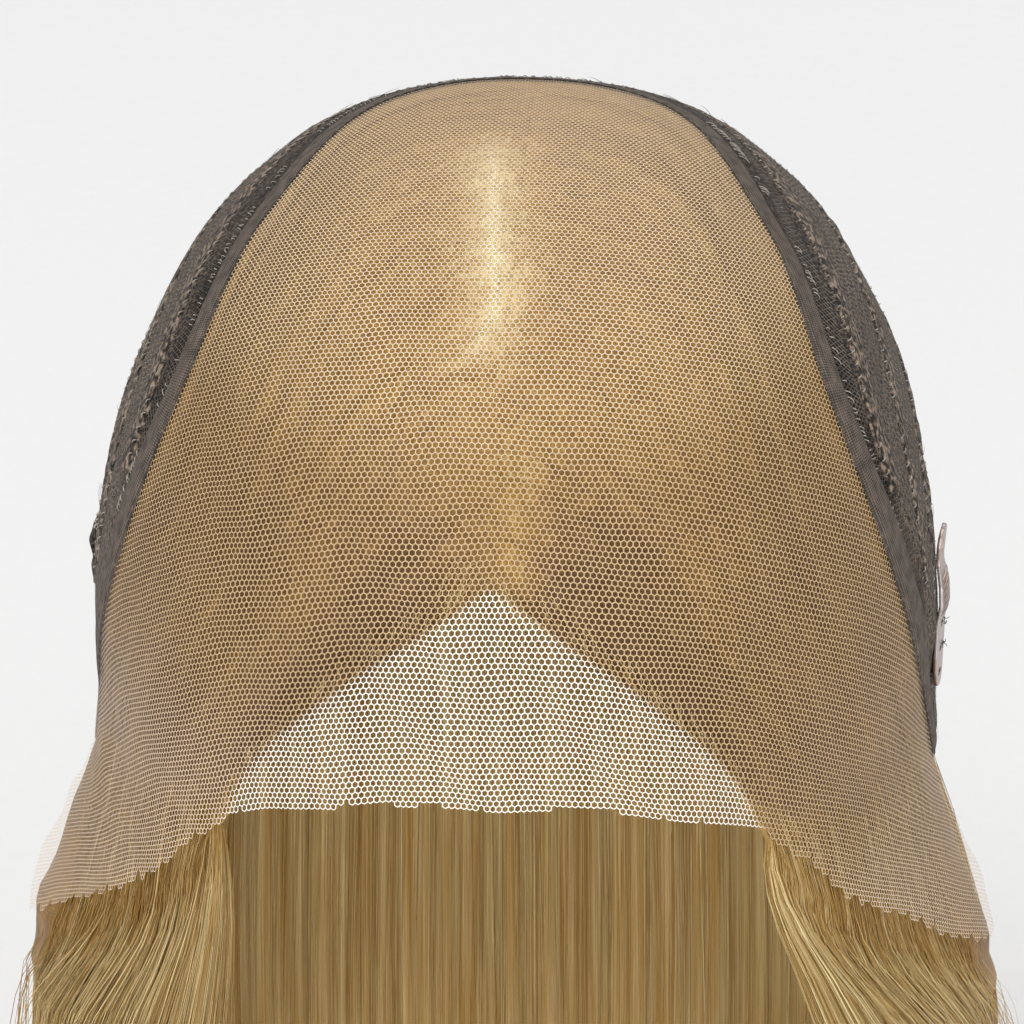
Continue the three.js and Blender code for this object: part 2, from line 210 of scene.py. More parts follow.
def on_form(points):
    """Where lines from the centre through the points meet the form."""
    ways = unit(points - CENTRE)
    return CENTRE + ways * reach(CENTRE, ways, 330)[..., None]


def normal_at(points):
    ways = unit(points - CENTRE)
    aside = np.where(np.abs(ways[..., 2:]) > 0.9, (0.0, 1.0, 0.0), (0.0, 0.0, 1.0))
    u = unit(np.cross(aside, ways))
    v = np.cross(ways, u)
    a = on_form(points + 0.6 * u) - on_form(points - 0.6 * u)
    b = on_form(points + 0.6 * v) - on_form(points - 0.6 * v)
    return unit(np.cross(a, b))


def lengths_of(points):
    """Running length along a row of points."""
    steps = np.linalg.norm(np.diff(points, axis=-2), axis=-1)
    return np.concatenate([np.zeros_like(steps[..., :1]), np.cumsum(steps, -1)], -1)


def at_lengths(places, run, points):
    """Points at places along a row of points whose running length is known."""
    return np.stack([np.interp(places, run, points[:, i]) for i in range(3)], -1)


def line_of(table):
    """A line of the cap: -1 at its left end, 0 at the middle, 1 at its right end."""
    start, following = table[0], table[1]
    run = through(table, (2 * start[0] - following[0], following[1]), 16)
    points = point_at(run[:, 0], run[:, 1])
    lengths = lengths_of(points)

    def line(t):
        t = np.asarray(t, float)
        along = np.clip(np.abs(t), 0, 1) * lengths[-1]
        point = at_lengths(along, lengths, points)
        point[..., 0] *= np.where(t < 0, -1, 1)
        return point

    return line


front_edge = line_of(FRONT_EDGE)
hairline = line_of(HAIRLINE)
seam = line_of(SEAM)
cap_front = line_of(CAP_FRONT)
nape = line_of(NAPE)
tab_exit = line_of(TAB_EXIT)


def between(line_a, line_b, share):
    return lambda t: on_form(mix(line_a(t), line_b(t), share))


def ripple(x, seed, waves=5):
    """A smooth uneven wave from -1 to 1, the same for the same seed."""
    draw = np.random.default_rng(seed)
    rates, phases = draw.uniform(0.6, 2.6, waves), draw.uniform(0, 6.28, waves)
    return sum(np.sin(r * x + p) for r, p in zip(rates, phases)) / waves


def crown_lift(points):
    """How much of their height the tape, wefts and net keep: they are drawn flat over the crown."""
    return mix(0.25, 1.0, ease(8, 32, drop_of(points)))


def flare(points):
    """How far the ear tabs stand out from the form: the left one is slack and curls away."""
    turn, drop = turn_and_drop(points)
    left = points[..., 0] < 0
    stand = np.where(left, 2.6, 1.4) * np.exp(-(((drop - 150) / 19) ** 2))
    crease = 0.4 * np.sin(0.3 * drop + 0.16 * turn) + 0.25 * np.sin(0.52 * drop - 0.3 * turn)
    slack = np.where(left, 1.0, 0.55) * ease(104, 140, drop) * (1 - ease(164, 180, drop))
    return (stand + slack * crease) * ease(48, 80, np.abs(turn))


# Meshes


def piece_from(name, points, faces, material, slot, nodes=(), **attributes):
    """One piece of the wig from points in millimetres, riding on the part's only body."""
    mesh = bpy.data.meshes.new(name)
    mesh.from_pydata((np.asarray(points).reshape(-1, 3) * MM).tolist(), [], [f.tolist() for f in faces])
    if mesh.validate():
        raise RuntimeError(name + " has faulty faces")
    for label, values in attributes.items():
        kind, field = ("FLOAT", "value") if np.ndim(values) == 1 else ("FLOAT_VECTOR", "vector")
        stored = mesh.attributes.new(label, kind, "POINT")
        stored.data.foreach_set(field, np.asarray(values, np.float32).ravel())
    mesh.shade_smooth()
    mesh.materials.append(material)
    piece = bpy.data.objects.new(name, mesh)
    bpy.context.scene.collection.objects.link(piece)
    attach(piece, "root")
    if nodes:
        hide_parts(*nodes)


def grid_faces(rows, columns, start=0, wrap=False):
    """Four-sided faces between the points of a grid; wrap joins its last column to its first."""
    index = np.arange(rows * columns).reshape(rows, columns) + start
    if wrap:
        index = np.hstack([index, index[:, :1]])
    corners = (index[:-1, :-1], index[:-1, 1:], index[1:, 1:], index[1:, :-1])
    return np.stack(corners, -1).reshape(-1, 4)


def shell(outer, inner):
    """A closed wall between two grids of points: its points and faces."""
    rows, columns = outer.shape[:2]
    count = rows * columns
    index = np.arange(count).reshape(rows, columns)
    rim = np.concatenate([index[0, :-1], index[:-1, -1], index[-1, :0:-1], index[:0:-1, 0]])
    after = np.roll(rim, -1)
    sides = np.stack([rim, rim + count, after + count, after], -1)
    faces = np.vstack([grid_faces(rows, columns), grid_faces(rows, columns, count)[:, ::-1], sides])
    points = np.vstack([outer.reshape(-1, 3), inner.reshape(-1, 3)])
    if np.sum((points[faces[:, 0]] - points.mean(0)) * face_ways(points, faces)) < 0:
        faces = faces[:, ::-1]
    return points, faces


def shell_piece(name, outer, inner, material, slot, nodes, **grids):
    """A piece that is a closed wall between two grids, with values given for the points of the outer one."""
    points, faces = shell(outer, inner)
    rows = {label: values.reshape((-1, 3) if values.ndim == 3 else -1) for label, values in grids.items()}
    both = {label: np.concatenate([values, values]) for label, values in rows.items()}
    piece_from(name, points, faces, material, slot, nodes, **both)


def face_ways(points, faces):
    a, b, c, d = (points[faces[:, i]] for i in range(4))
    return np.cross(c - a, d - b)


def tubes(paths, radii, out, sides=3):
    """Thin closed rods along paths: paths (n, stations, 3), radii (n, stations), out a way across them."""
    count, stations = paths.shape[:2]
    tangent = unit(np.gradient(paths, axis=1))
    across = unit(np.cross(tangent, np.broadcast_to(out, paths.shape)))
    rise = np.cross(across, tangent)
    angles = 2 * np.pi * np.arange(sides) / sides
    ring = np.cos(angles)[:, None] * across[:, :, None] + np.sin(angles)[:, None] * rise[:, :, None]
    points = paths[:, :, None] + radii[:, :, None, None] * ring
    faces = grid_faces(stations, sides, wrap=True)
    caps = [np.arange(sides)[::-1], np.arange(sides) + (stations - 1) * sides]
    size = stations * sides
    shift = np.arange(count)[:, None, None] * size
    walls = (faces[None] + shift).reshape(-1, 4)
    ends = (np.stack(caps)[None] + shift).reshape(-1, sides)
    return points.reshape(-1, 3), [*walls, *ends]


def thread_piece(name, paths, ways, material, slot, nodes=(), radius=0.1, sides=3):
    """A piece made of even rods along paths, such as stitches."""
    points, faces = tubes(paths, np.full(paths.shape[:2], radius), ways[:, None], sides)
    piece_from(name, points, faces, material, slot, nodes)


def arches(starts, ends, out, rise, stations=5):
    """Bowed paths from starts to ends, for stitches and ribs."""
    share = np.linspace(0, 1, stations)[None, :, None]
    bow = (out * rise)[:, None] * 4 * share * (1 - share)
    return starts[:, None] + (ends - starts)[:, None] * share + bow


def flat_map(points, pole):
    """Points of the form laid flat around a pole, to tell which lie inside a cut line."""
    ways = unit(points - CENTRE)
    right = np.array([1.0, 0.0, 0.0])
    up = np.cross(pole, right)
    flat = unit(np.stack([ways @ right, ways @ up], -1))
    return flat * np.arccos(np.clip(ways @ pole, -1, 1))[..., None]


# Poles around which the lace and the back cap are laid flat, by how far they rise from level
LACE_RISE, CAP_RISE = 0.87, 0.35
LACE_POLE = np.array([0, -math.cos(LACE_RISE), math.sin(LACE_RISE)])
CAP_POLE = np.array([0, math.cos(CAP_RISE), math.sin(CAP_RISE)])


def is_within(outline, spots):
    """Which spots of a flat map lie inside a closed outline."""
    x, y = spots[..., 0], spots[..., 1]
    within = np.zeros(x.shape, bool)
    for (x0, y0), (x1, y1) in zip(outline, np.roll(outline, -1, 0)):
        if y0 != y1:
            within ^= ((y0 > y) != (y1 > y)) & (x < (x1 - x0) * (y - y0) / (y1 - y0) + x0)
    return within


def away_from(line, points):
    """How far each point is from the points of a line."""
    return np.concatenate([
        np.linalg.norm(some[:, None] - line, axis=2).min(1) for some in np.array_split(points, 200)])


# Middle line of the cap, from the front over the crown to the nape
MIDDLE_LINE = np.vstack([
    point_at(0, np.linspace(112, 0.01, 500)),
    point_at(180, np.linspace(0.01, 156, 600)),
])
MIDDLE_LENGTHS = lengths_of(MIDDLE_LINE)


def middle_at(length):
    return at_lengths(length, MIDDLE_LENGTHS, MIDDLE_LINE)


# How far along the middle line the seam crosses it, behind the crown
SEAM_CROSSING = MIDDLE_LENGTHS[np.argmin(np.linalg.norm(MIDDLE_LINE - point_at(*SEAM[0]), axis=1))]


def knit_rows(lengths, tilts, along):
    """Points at distances along plane cuts of the form, one cut for each length on the middle line."""
    middles = middle_at(lengths)
    back = np.stack([np.zeros_like(tilts), np.cos(tilts), -np.sin(tilts)], -1)
    starts = middles + 0.4 * back
    hubs = starts + back * reach(starts, back, 300)[:, None] / 2
    angles = np.linspace(0, 2.6, 240)[None, :, None]
    ways = np.sin(angles) * np.array([1.0, 0.0, 0.0]) - np.cos(angles) * back[:, None]
    points = hubs[:, None] + ways * reach(hubs[:, None], ways, 300)[..., None]
    runs = lengths_of(points)
    made = np.stack([at_lengths(np.abs(a), run, row) for a, run, row in zip(along, runs, points)])
    made[..., 0] *= np.where(along < 0, -1, 1)
    return made


def unevenness(points):
    """Smooth shifts along the cap, of 1.4 at most, as a net sewn and stretched by hand has them."""
    x, z = points[..., 0], points[..., 2]
    fine = 0.4 * np.sin(0.45 * x + 0.37 * z)
    rise = np.sin(0.21 * x + 0.13 * z + 1.5 * np.sin(0.06 * z)) + fine
    shift = np.sin(0.17 * z - 0.11 * x) + fine
    return np.stack([shift, 0 * x, rise], -1)


def hexagon_net(cell, stretch, thread, lengths, tilts, reach_aside, outline, pole):
    """A knitted hexagon net on the form, cut to an outline: its points, four-sided and three-sided faces."""
    side = cell / math.sqrt(3)
    rows = int((lengths[1] - lengths[0]) / (1.5 * side * stretch))
    columns = int(2 * reach_aside / cell)
    j, i = np.arange(rows)[:, None], np.arange(columns)[None, :]
    along = (i - columns / 2 + 0.5 * (j % 2)) * cell
    height = 1.5 * side * np.arange(rows)

    def knots(rise):
        at = lengths[0] + stretch * (height + rise)
        return knit_rows(at, np.interp(at, lengths, np.radians(tilts)), along)

    tops, bottoms, middles = knots(side), knots(-side), knots(0.0)
    kept = is_within(flat_map(outline, pole), flat_map(middles, pole))
    kept[:2], kept[-2:], kept[:, :2], kept[:, -2:] = False, False, False, False
    odd = np.broadcast_to(j % 2, kept.shape)
    jj, ii = np.broadcast_to(j, kept.shape), np.broadcast_to(i, kept.shape)

    def pick(values, row_step, column_step):
        return values[np.clip(jj + row_step, 0, rows - 1), np.clip(ii + column_step, 0, columns - 1)]

    # Cells that hang by one or two neighbours only are trimmed away
    places = ((0, -1), (0, 1), (1, odd - 1), (1, odd), (-1, odd - 1), (-1, odd))
    kept = kept & (sum(pick(kept, *place).astype(int) for place in places) > 2)
    above, below = ((2, 0), (1, odd - 1), (1, odd)), ((-2, 0), (-1, odd - 1), (-1, odd))
    top_ways = [pick(bottoms, *place) for place in above]
    bottom_ways = [pick(tops, *place) for place in below]
    half = thread / math.sqrt(3)
    top_corners = np.stack([tops - half * unit(way - tops) for way in top_ways], 2)
    bottom_corners = np.stack([bottoms - half * unit(way - bottoms) for way in bottom_ways], 2)
    count = rows * columns * 3
    top_id = np.arange(count).reshape(rows, columns, 3)
    bottom_id = top_id + count
    left, right = pick(kept, 1, odd - 1), pick(kept, 1, odd)
    up_end, left_end, right_end = (pick(bottom_id, *place) for place in above)
    t = top_id
    runs = [
        (left | right, [t[..., 1], up_end[..., 1], up_end[..., 2], t[..., 2]]),
        (kept | right, [t[..., 1], t[..., 0], right_end[..., 2], right_end[..., 0]]),
        (kept | left, [t[..., 0], t[..., 2], left_end[..., 0], left_end[..., 1]]),
    ]
    quads = np.vstack([np.stack(corners, -1)[held] for held, corners in runs])
    used = np.zeros(2 * count, bool)
    used[quads] = True
    triples = np.vstack([top_id.reshape(-1, 3), bottom_id[..., [0, 2, 1]].reshape(-1, 3)])
    triples = triples[used[triples].sum(1) >= 2]
    used[triples] = True
    fresh = np.cumsum(used) - 1
    points = np.vstack([top_corners.reshape(-1, 3), bottom_corners.reshape(-1, 3)])[used]
    return on_form(points + 0.3 * unevenness(points)), fresh[quads], fresh[triples]


def part_of(points, chosen):
    """The points that some faces use, and those faces numbered by them."""
    used = np.zeros(len(points), bool)
    for f in chosen:
        used[f] = True
    fresh = np.cumsum(used) - 1
    return points[used], [row for f in chosen for row in fresh[f]]


def halves_of(points, *faces):
    """Splits faces into those left and right of the middle, each with its own points."""
    for name, way in (("left", -1), ("right", 1)):
        yield name, *part_of(points, [f[(points[f].mean(1)[:, 0] >= 0) == (way > 0)] for f in faces])


# Where along the hairline the ear tab's front corner lies
HAIRLINE_STEPS = np.linspace(0, 1, 2001)
CORNER = HAIRLINE_STEPS[np.argmin(np.linalg.norm(hairline(HAIRLINE_STEPS) - point_at(*TAB_EXIT[0]), axis=1))]


def flow(share, along):
    """Hair under the lace: share from hairline to seam, along from the middle to where it leaves the tab."""
    low, high = hairline(along * CORNER), seam(along)
    plain = mix(hairline(np.array(CORNER)), seam(np.array(1.0)), share[..., None])
    leaving = tab_exit(np.maximum(share, 0))
    return on_form(mix(low, high, share[..., None]) + (along**4)[..., None] * (leaving - plain))


def side_hair(way, share, along, hang, depth, end_drop=LONGEST, sway=0.0):
    """One side's hair, along the flow to the tab's edge and then hanging: its points and the way out."""
    flap = BARE_FLAP[way] * ease(0.85, 0.97, along) * (1 - ease(0, 0.35, hang))
    under = flow(share * (1 - flap), np.minimum(along, 1))
    turn, drop = turn_and_drop(under)
    fall = drop + (end_drop - drop) * hang
    end_turn = mix(HANGING_FROM[way], HANGING_TO, share)
    swing = mix(turn, end_turn, ease(0, 0.3, hang)) + sway
    points = np.where((hang > 0)[..., None], point_at(swing, fall), under)
    points[..., 0] *= way
    out = normal_at(points)
    return points + out * (flare(points) + depth)[..., None], out


def hairline_shift(way, along):
    """How far the hairline beside the peak is let down on the right and drawn up on the left."""
    return way * 0.028 * np.exp(-(((along - 0.06) / 0.05) ** 2))


def drop_on(table, turn):
    """The drop of a line's table at a turn on either side."""
    rows = sorted(table)
    return np.interp(np.abs(turn), [r[0] for r in rows], [r[1] for r in rows])


# Middle of the parting, from the front to the crown, and how wide it is
PARTING = [
    (-60, -4.6, 0.7), (-53, -3.5, 1.2), (-45, -1.4, 1.0),
    (-30, -2.6, 1.5), (-12, -3.6, 0.9), (8, -4.8, 0.6),
]


def parting(points):
    """How strongly the parting's pale core and its soft surround show at each point."""
    x, y = points[..., 0], points[..., 1]
    rows = np.array(PARTING)
    aside = x - np.interp(y, rows[:, 0], rows[:, 1]) - 0.5 * np.sin(0.9 * y)
    width = np.interp(y, rows[:, 0], rows[:, 2]) * (1 + 0.3 * np.sin(0.55 * y + 1))
    above = points[..., 2] > -25
    core = np.exp(-((aside / width) ** 2)) * ease(-60, -44, y) * (1 - ease(-10, 8, y))
    halo = np.exp(-((aside / 7.5) ** 2)) * ease(-68, -44, y) * (1 - ease(0, 22, y))
    return core * above, halo * above


def lining_tint(points, share, along):
    """How light the hair under the lace is, from the parting and the hairline, with painted light at the
    crown and painted shade lower down and towards the sides.
    """
    x, y = points[..., 0], points[..., 1]
    drop = drop_of(points)
    core, halo = parting(points)
    peak = np.exp(-(((x - 4) / 4.5) ** 2)) * ease(18, 30, drop) * (1 - ease(44, 48, drop)) * (y < 20)
    edge = np.exp(-((share / 0.16) ** 2)) * ease(0.04, 0.16, along) * (1 - ease(0.55, 0.9, along))
    # Painted shade: darker towards the sides
    side = ease(30, 60, np.abs(x)) * (1 - ease(0.8, 1, along))
    # Painted light: lighter towards the crown
    painted_top_light = 1 - ease(8, 40, drop)
    # Thicker and thinner places about 30 mm across
    clouds = np.sin(0.19 * x + 0.07 * drop + 0.6) * np.sin(0.13 * drop - 0.08 * x + 1.9)
    light = 0.13 * core + 0.36 * halo + 0.26 * peak + 0.1 * painted_top_light + 0.08 * clouds * ease(20, 45, drop)
    # Painted shade: darker at lower drops
    return 0.38 + light - 0.32 * edge - 0.1 * side - 0.14 * ease(20, 36, drop) - 0.03 * ease(45, 80, drop)


# Materials


def linear(code):
    """A colour's linear values from its sRGB hex code."""
    parts = [int(code[i : i + 2], 16) / 255 for i in (1, 3, 5)]
    return [c / 12.92 if c <= 0.04045 else ((c + 0.055) / 1.055) ** 2.4 for c in parts]


def shade(colour, factor=1.0):
    """A colour for a socket, made lighter or darker by a factor."""
    return [*(min(1.0, c * factor) for c in colour), 1.0]


def mixed(a, b, t):
    return [mix(x, y, t) for x, y in zip(a, b)]


def feed(socket, value):
    """Sets a socket's value, or links it to another socket or to a node's first output."""
    if isinstance(value, bpy.types.Node):
        value = value.outputs[0]
    if isinstance(value, bpy.types.NodeSocket):
        socket.id_data.links.new(value, socket)
    else:
        socket.default_value = value


def add(tree, kind, inputs=None, stops=None, **settings):
    """Adds a node with its settings, its inputs as links or values, and its colour stops."""
    made = tree.nodes.new("ShaderNode" + kind)
    for name, value in settings.items():
        setattr(made, name, value)
    for name, value in (inputs or {}).items():
        feed(made.inputs[name], value)
    for index, (place, colour) in enumerate(stops or []):
        elements = made.color_ramp.elements
        element = elements[index] if index < 2 else elements.new(place)
        element.position, element.color = place, colour
    return made


def material_named(name):
    """A new material, its tree and its shader, to be finished by the caller."""
    material = bpy.data.materials.new(name)
    material.use_nodes = True
    tree = material.node_tree
    return material, tree, tree.nodes["Principled BSDF"]


def finish_shader(shader, **inputs):
    for name, value in inputs.items():
        feed(shader.inputs[name.replace("_", " ")], value)


def lace_thread(colours):
    # Knitted nylon: fine matt beige threads, a little paler where light catches a knot
    material, tree, shader = material_named("Knitted nylon lace")
    place = add(tree, "NewGeometry")
    # Patches of about 18 mm, and single knots of about 1.3 mm
    patch = add(tree, "TexNoise", {"Vector": place, "Scale": 55.0, "Detail": 2.0})
    knot = add(tree, "TexNoise", {"Vector": place, "Scale": 780.0, "Detail": 1.0})
    both = add(tree, "Math", {0: patch, 1: knot}, operation="ADD")
    level = add(tree, "Math", {0: both, 1: 0.5}, operation="MULTIPLY")
    colour = add(tree, "ValToRGB", {"Fac": level}, stops=[
        (0.3, shade(colours.lace, 0.72)), (0.7, shade(colours.lace, 1.12))])
    # Browner in the middle of the lace, partly for its close knots and partly as painted shade; pinker at the
    # tabs, and in the same colour as painted light over the crown and down the left side; cream where it is
    # bare
    tints = {"knots": colours.lace_knotted_and_shaded, "tone": colours.lace_tab_and_painted_light, "bare": colours.lace_bare}
    for label, tint in tints.items():
        share = add(tree, "Attribute", attribute_name=label).outputs["Fac"]
        blend = add(tree, "Mix", {"Factor": share, 6: colour, 7: shade(tint)}, data_type="RGBA")
        colour = blend.outputs[2]
    finish_shader(shader, Base_Color=colour, Roughness=0.62, IOR=1.53, Sheen_Weight=0.1)
    return material


def speckled(name, colour, scale, detail, stops, **finish):
    """A plain material whose colour varies in spots; stops give a level and how light the colour is there."""
    if name in bpy.data.materials:
        return bpy.data.materials[name]
    material, tree, shader = material_named(name)
    place = add(tree, "NewGeometry")
    spots = add(tree, "TexNoise", {"Vector": place, "Scale": scale, "Detail": detail})
    shades = [(level, shade(colour, light)) for level, light in stops]
    ramp = add(tree, "ValToRGB", {"Fac": spots}, stops=shades)
    finish_shader(shader, Base_Color=ramp, **finish)
    return material


def net_thread(colours):
    # Polyester stretch net: thin grey threads with a dull glint, in dusty and worn patches of about 9 mm
    return speckled("Polyester stretch net", colours.net, scale=110.0, detail=3.0,
                    stops=[(0.35, 0.3), (0.65, 1.2)], Roughness=0.6, IOR=1.57, Sheen_Weight=0.05)


def sewing_thread(name, colour):
    # Spun polyester thread: matt, with twisted plies of about 0.35 mm that catch light in short flecks
    return speckled(name, colour, scale=2800.0, detail=2.0,
                    stops=[(0.35, 0.6), (0.65, 1.25)], Roughness=0.7, IOR=1.57, Sheen_Weight=0.2)


def paper_floor(colours):
    # Seamless studio paper: matt, pale, almost even, with its tooth drawn 4 mm wide
    return speckled("Matt studio paper", colours.floor, scale=250.0, detail=2.0,
                    stops=[(0.0, 0.985), (1.0, 1.015)], Roughness=0.95, IOR=1.4, Specular_IOR_Level=0.2)


def dark_lining(colours):
    # Dark brushed knit under the net: near black with brown lint
    if KNIT in bpy.data.materials:
        return bpy.data.materials[KNIT]
    material, tree, shader = material_named(KNIT)
    place = add(tree, "NewGeometry")
    # Flecks of lint of about 0.7 mm over knit loops of about 0.6 mm, thicker away from the tape
    lint = add(tree, "TexNoise", {"Vector": place, "Scale": 1400.0, "Detail": 2.0})
    loops = add(tree, "TexVoronoi", {"Vector": place, "Scale": 1600.0})
    thick = add(tree, "Attribute", attribute_name="lint").outputs["Fac"]
    level = add(tree, "Math", {0: thick, 1: 0.15, 2: lint}, operation="MULTIPLY_ADD")
    ramp = add(tree, "ValToRGB", {"Fac": level}, stops=[
        (0.5, shade(colours.cap, 0.55)), (0.82, shade(colours.weft, 1.5)), (0.64, shade(colours.weft, 0.7))])
    bump = add(tree, "Bump", {"Height": loops, "Strength": 0.5, "Distance": 0.0004})
    finish_shader(shader, Base_Color=ramp, Normal=bump, Roughness=0.95, IOR=1.5, Specular_IOR_Level=0.2,
                  Sheen_Weight=0.05)
    return material


def woven_ribbon(colours):
    # Woven polyester ribbon: fine ribs along it, crossed by finer picks, dull grey-brown
    material, tree, shader = material_named("Woven polyester ribbon")
    weave = add(tree, "Attribute", attribute_name="weave").outputs["Vector"]
    split = add(tree, "SeparateXYZ", {0: weave})
    # Ribs 0.7 mm apart, and picks drawn 0.5 mm apart, coarser than real ones so that they show
    waves = []
    for axis, apart in ((0, 0.7), (1, 0.5)):
        turn = add(tree, "Math", {0: split.outputs[axis], 1: 2 * math.pi / apart}, operation="MULTIPLY")
        waves.append(add(tree, "Math", {0: turn}, operation="SINE"))
    both = add(tree, "Math", dict(enumerate(waves)), operation="ADD")
    # Lint and handling marks of about 2 mm, longer along it
    lint = add(tree, "VectorMath", {0: weave, 1: (0.6, 0.3, 1.0)}, operation="MULTIPLY")
    marks = add(tree, "TexNoise", {"Vector": lint, "Scale": 1.0, "Detail": 4.0})
    level = add(tree, "Math", {0: both, 1: 0.16, 2: marks}, operation="MULTIPLY_ADD")
    ramp = add(tree, "ValToRGB", {"Fac": level}, stops=[
        (0.28, shade(colours.tape, 0.35)), (0.72, shade(colours.tape, 1.6))])
    bump = add(tree, "Bump", {"Height": both, "Strength": 0.6, "Distance": 0.00012})
    finish_shader(shader, Base_Color=ramp, Normal=bump, Roughness=0.8, IOR=1.57, Specular_IOR_Level=0.3)
    return material


def sewn_weft(colours):
    # Hair sewn into a flat track: matt grey-brown streaks, fuzzy, with dark gaps between bundles
    material, tree, shader = material_named("Machine-sewn hair weft")
    weave = add(tree, "Attribute", attribute_name="weave").outputs["Vector"]
    # Flecks 0.7 mm wide and about 1.5 mm long, and bundles of about 3 mm
    fleck = add(tree, "VectorMath", {0: weave, 1: (1.4, 0.7, 1.0)}, operation="MULTIPLY")
    fine = add(tree, "TexNoise", {"Vector": fleck, "Scale": 1.0, "Detail": 3.0})
    bundle = add(tree, "TexNoise", {"Vector": weave, "Scale": 0.33, "Detail": 3.0})
    level = add(tree, "Math", {0: fine, 1: 3.0, 2: bundle}, operation="MULTIPLY_ADD")
    quarter = add(tree, "Math", {0: level, 1: 0.25}, operation="MULTIPLY")
    ramp = add(tree, "ValToRGB", {"Fac": quarter}, stops=[
        (0.43, shade(colours.weft, 0.1)), (0.6, shade(colours.weft, 2.4)), (0.5, shade(colours.weft, 0.6))])
    bump = add(tree, "Bump", {"Height": level, "Strength": 0.8, "Distance": 0.0003})
    finish_shader(shader, Base_Color=ramp, Normal=bump, Roughness=0.85, IOR=1.55, Specular_IOR_Level=0.3,
                  Sheen_Weight=0.05)
    return material


def human_hair(colours, name, relief):
    # Straight human hair: glossy golden brown, each strand a little lighter or darker than the next
    material, tree, shader = material_named(name)
    strand = add(tree, "Attribute", attribute_name="strand").outputs["Vector"]
    tint = add(tree, "Attribute", attribute_name="tint").outputs["Fac"]
    # Streaks drawn 0.5 mm wide and 40 mm long, coarser than a hair's 0.08 mm so that they show
    streak = add(tree, "VectorMath", {0: strand, 1: (2.0, 0.025, 1.0)}, operation="MULTIPLY")
    fine = add(tree, "TexNoise", {"Vector": streak, "Scale": 1.0, "Detail": 3.0})
    # Locks of about 4 mm
    lock = add(tree, "VectorMath", {0: strand, 1: (0.25, 0.008, 1.0)}, operation="MULTIPLY")
    broad = add(tree, "TexNoise", {"Vector": lock, "Scale": 1.0, "Detail": 2.0})
    both = add(tree, "Math", {0: fine, 1: 0.9, 2: broad}, operation="MULTIPLY_ADD")
    if relief:
        # Under the lace the knots break the hair up into spots of about 0.8 mm
        place = add(tree, "NewGeometry")
        spots = add(tree, "TexNoise", {"Vector": place, "Scale": 1250.0, "Detail": 2.0})
        knotted = add(tree, "Attribute", attribute_name="knotted").outputs["Fac"]
        uneven = add(tree, "Math", {0: spots, 1: 0.5}, operation="SUBTRACT")
        share = add(tree, "Math", {0: uneven, 1: knotted}, operation="MULTIPLY")
        tint = add(tree, "Math", {0: share, 1: 0.8, 2: tint}, operation="MULTIPLY_ADD")
        bump = add(tree, "Bump", {"Height": both, "Strength": 0.7, "Distance": 0.0006})
        finish_shader(shader, Normal=bump)
    contrast = 0.56 if relief else 0.6
    level = add(tree, "Math", {0: both, 1: contrast, 2: tint}, operation="MULTIPLY_ADD")
    centred = add(tree, "Math", {0: level, 1: 0.95 * contrast}, operation="SUBTRACT")
    ramp = add(tree, "ValToRGB", {"Fac": centred}, stops=[
        (0.0, shade(colours.hair_dark)),
        (1.0, shade(colours.hair_pale)),
        (0.3, shade(mixed(colours.hair_dark, colours.hair, 0.45))),
        (0.58, shade(colours.hair)),
        (0.8, shade(mixed(colours.hair, colours.hair_pale, 0.5))),
    ])
    finish_shader(shader, Base_Color=ramp, Roughness=0.5, IOR=1.55)
    return material


def spring_steel(colours):
    # Stamped spring steel: satin, pinkish grey, with brassy patches that are partly wear and partly a painted
    # warm glint
    material, tree, shader = material_named("Stamped spring steel")
    place = add(tree, "NewGeometry")
    # Rolling lines 0.3 mm apart along the strip, and spots of about 5 mm of wear and painted glint
    lines = add(tree, "VectorMath", {0: place, 1: (3000.0, 3000.0, 120.0)}, operation="MULTIPLY")
    rolled = add(tree, "TexNoise", {"Vector": lines, "Scale": 1.0, "Detail": 2.0})
    wear_and_glint = add(tree, "TexNoise", {"Vector": place, "Scale": 200.0, "Detail": 3.0})
    # Brassy colour: partly wear, partly a painted warm reflection
    brassy_glint_and_wear = mixed(colours.steel, linear("#b98d4a"), 0.5)
    ramp = add(tree, "ValToRGB", {"Fac": wear_and_glint}, stops=[(0.5, shade(colours.steel)), (0.8, shade(brassy_glint_and_wear))])
    rough = add(tree, "MapRange", {"Value": rolled, 3: 0.24, 4: 0.48})
    finish_shader(shader, Base_Color=ramp, Roughness=rough, Metallic=1.0)
    return material


# What a user would change


def size_of(name, description, default):
    return bpy.props.FloatProperty(
        name=name, description=description, default=default, min=0.00001, precision=5, unit="LENGTH")


def colour_of(name, description, code):
    return bpy.props.FloatVectorProperty(
        name=name, description=description, default=linear(code), subtype="COLOR", size=3, min=0, max=1)


def count_of(name, description, default):
    return bpy.props.IntProperty(name=name, description=description, default=default, min=10)


class WigSizes(bpy.types.PropertyGroup):
    lace_cell: size_of("Lace cell", "Width of one hexagon of the lace", 0.00109)
    lace_thread: size_of("Lace thread", "Width of the lace's threads", 0.00019)
    tooth_forehead: size_of("Forehead tooth", "Depth of the pinked teeth over the forehead", 0.0022)
    tooth_tab: size_of("Tab tooth", "Depth of the pinked teeth along the ear tabs", 0.0038)
    net_cell: size_of("Net cell", "Width of one mesh of the back cap's net", 0.0015)
    net_thread: size_of("Net thread", "Width of the back cap's net threads", 0.0002)
    strand: size_of("Strand", "Width of a strand, which stands for a few hairs", 0.00016)
    fuzz: size_of("Fuzz", "Width of a loose short hair", 0.00014)
    side_strands: count_of("Side strands", "Strands on each side of the front", 1700)
    back_strands: count_of("Back strands", "Strands hanging from the back of the cap", 2000)


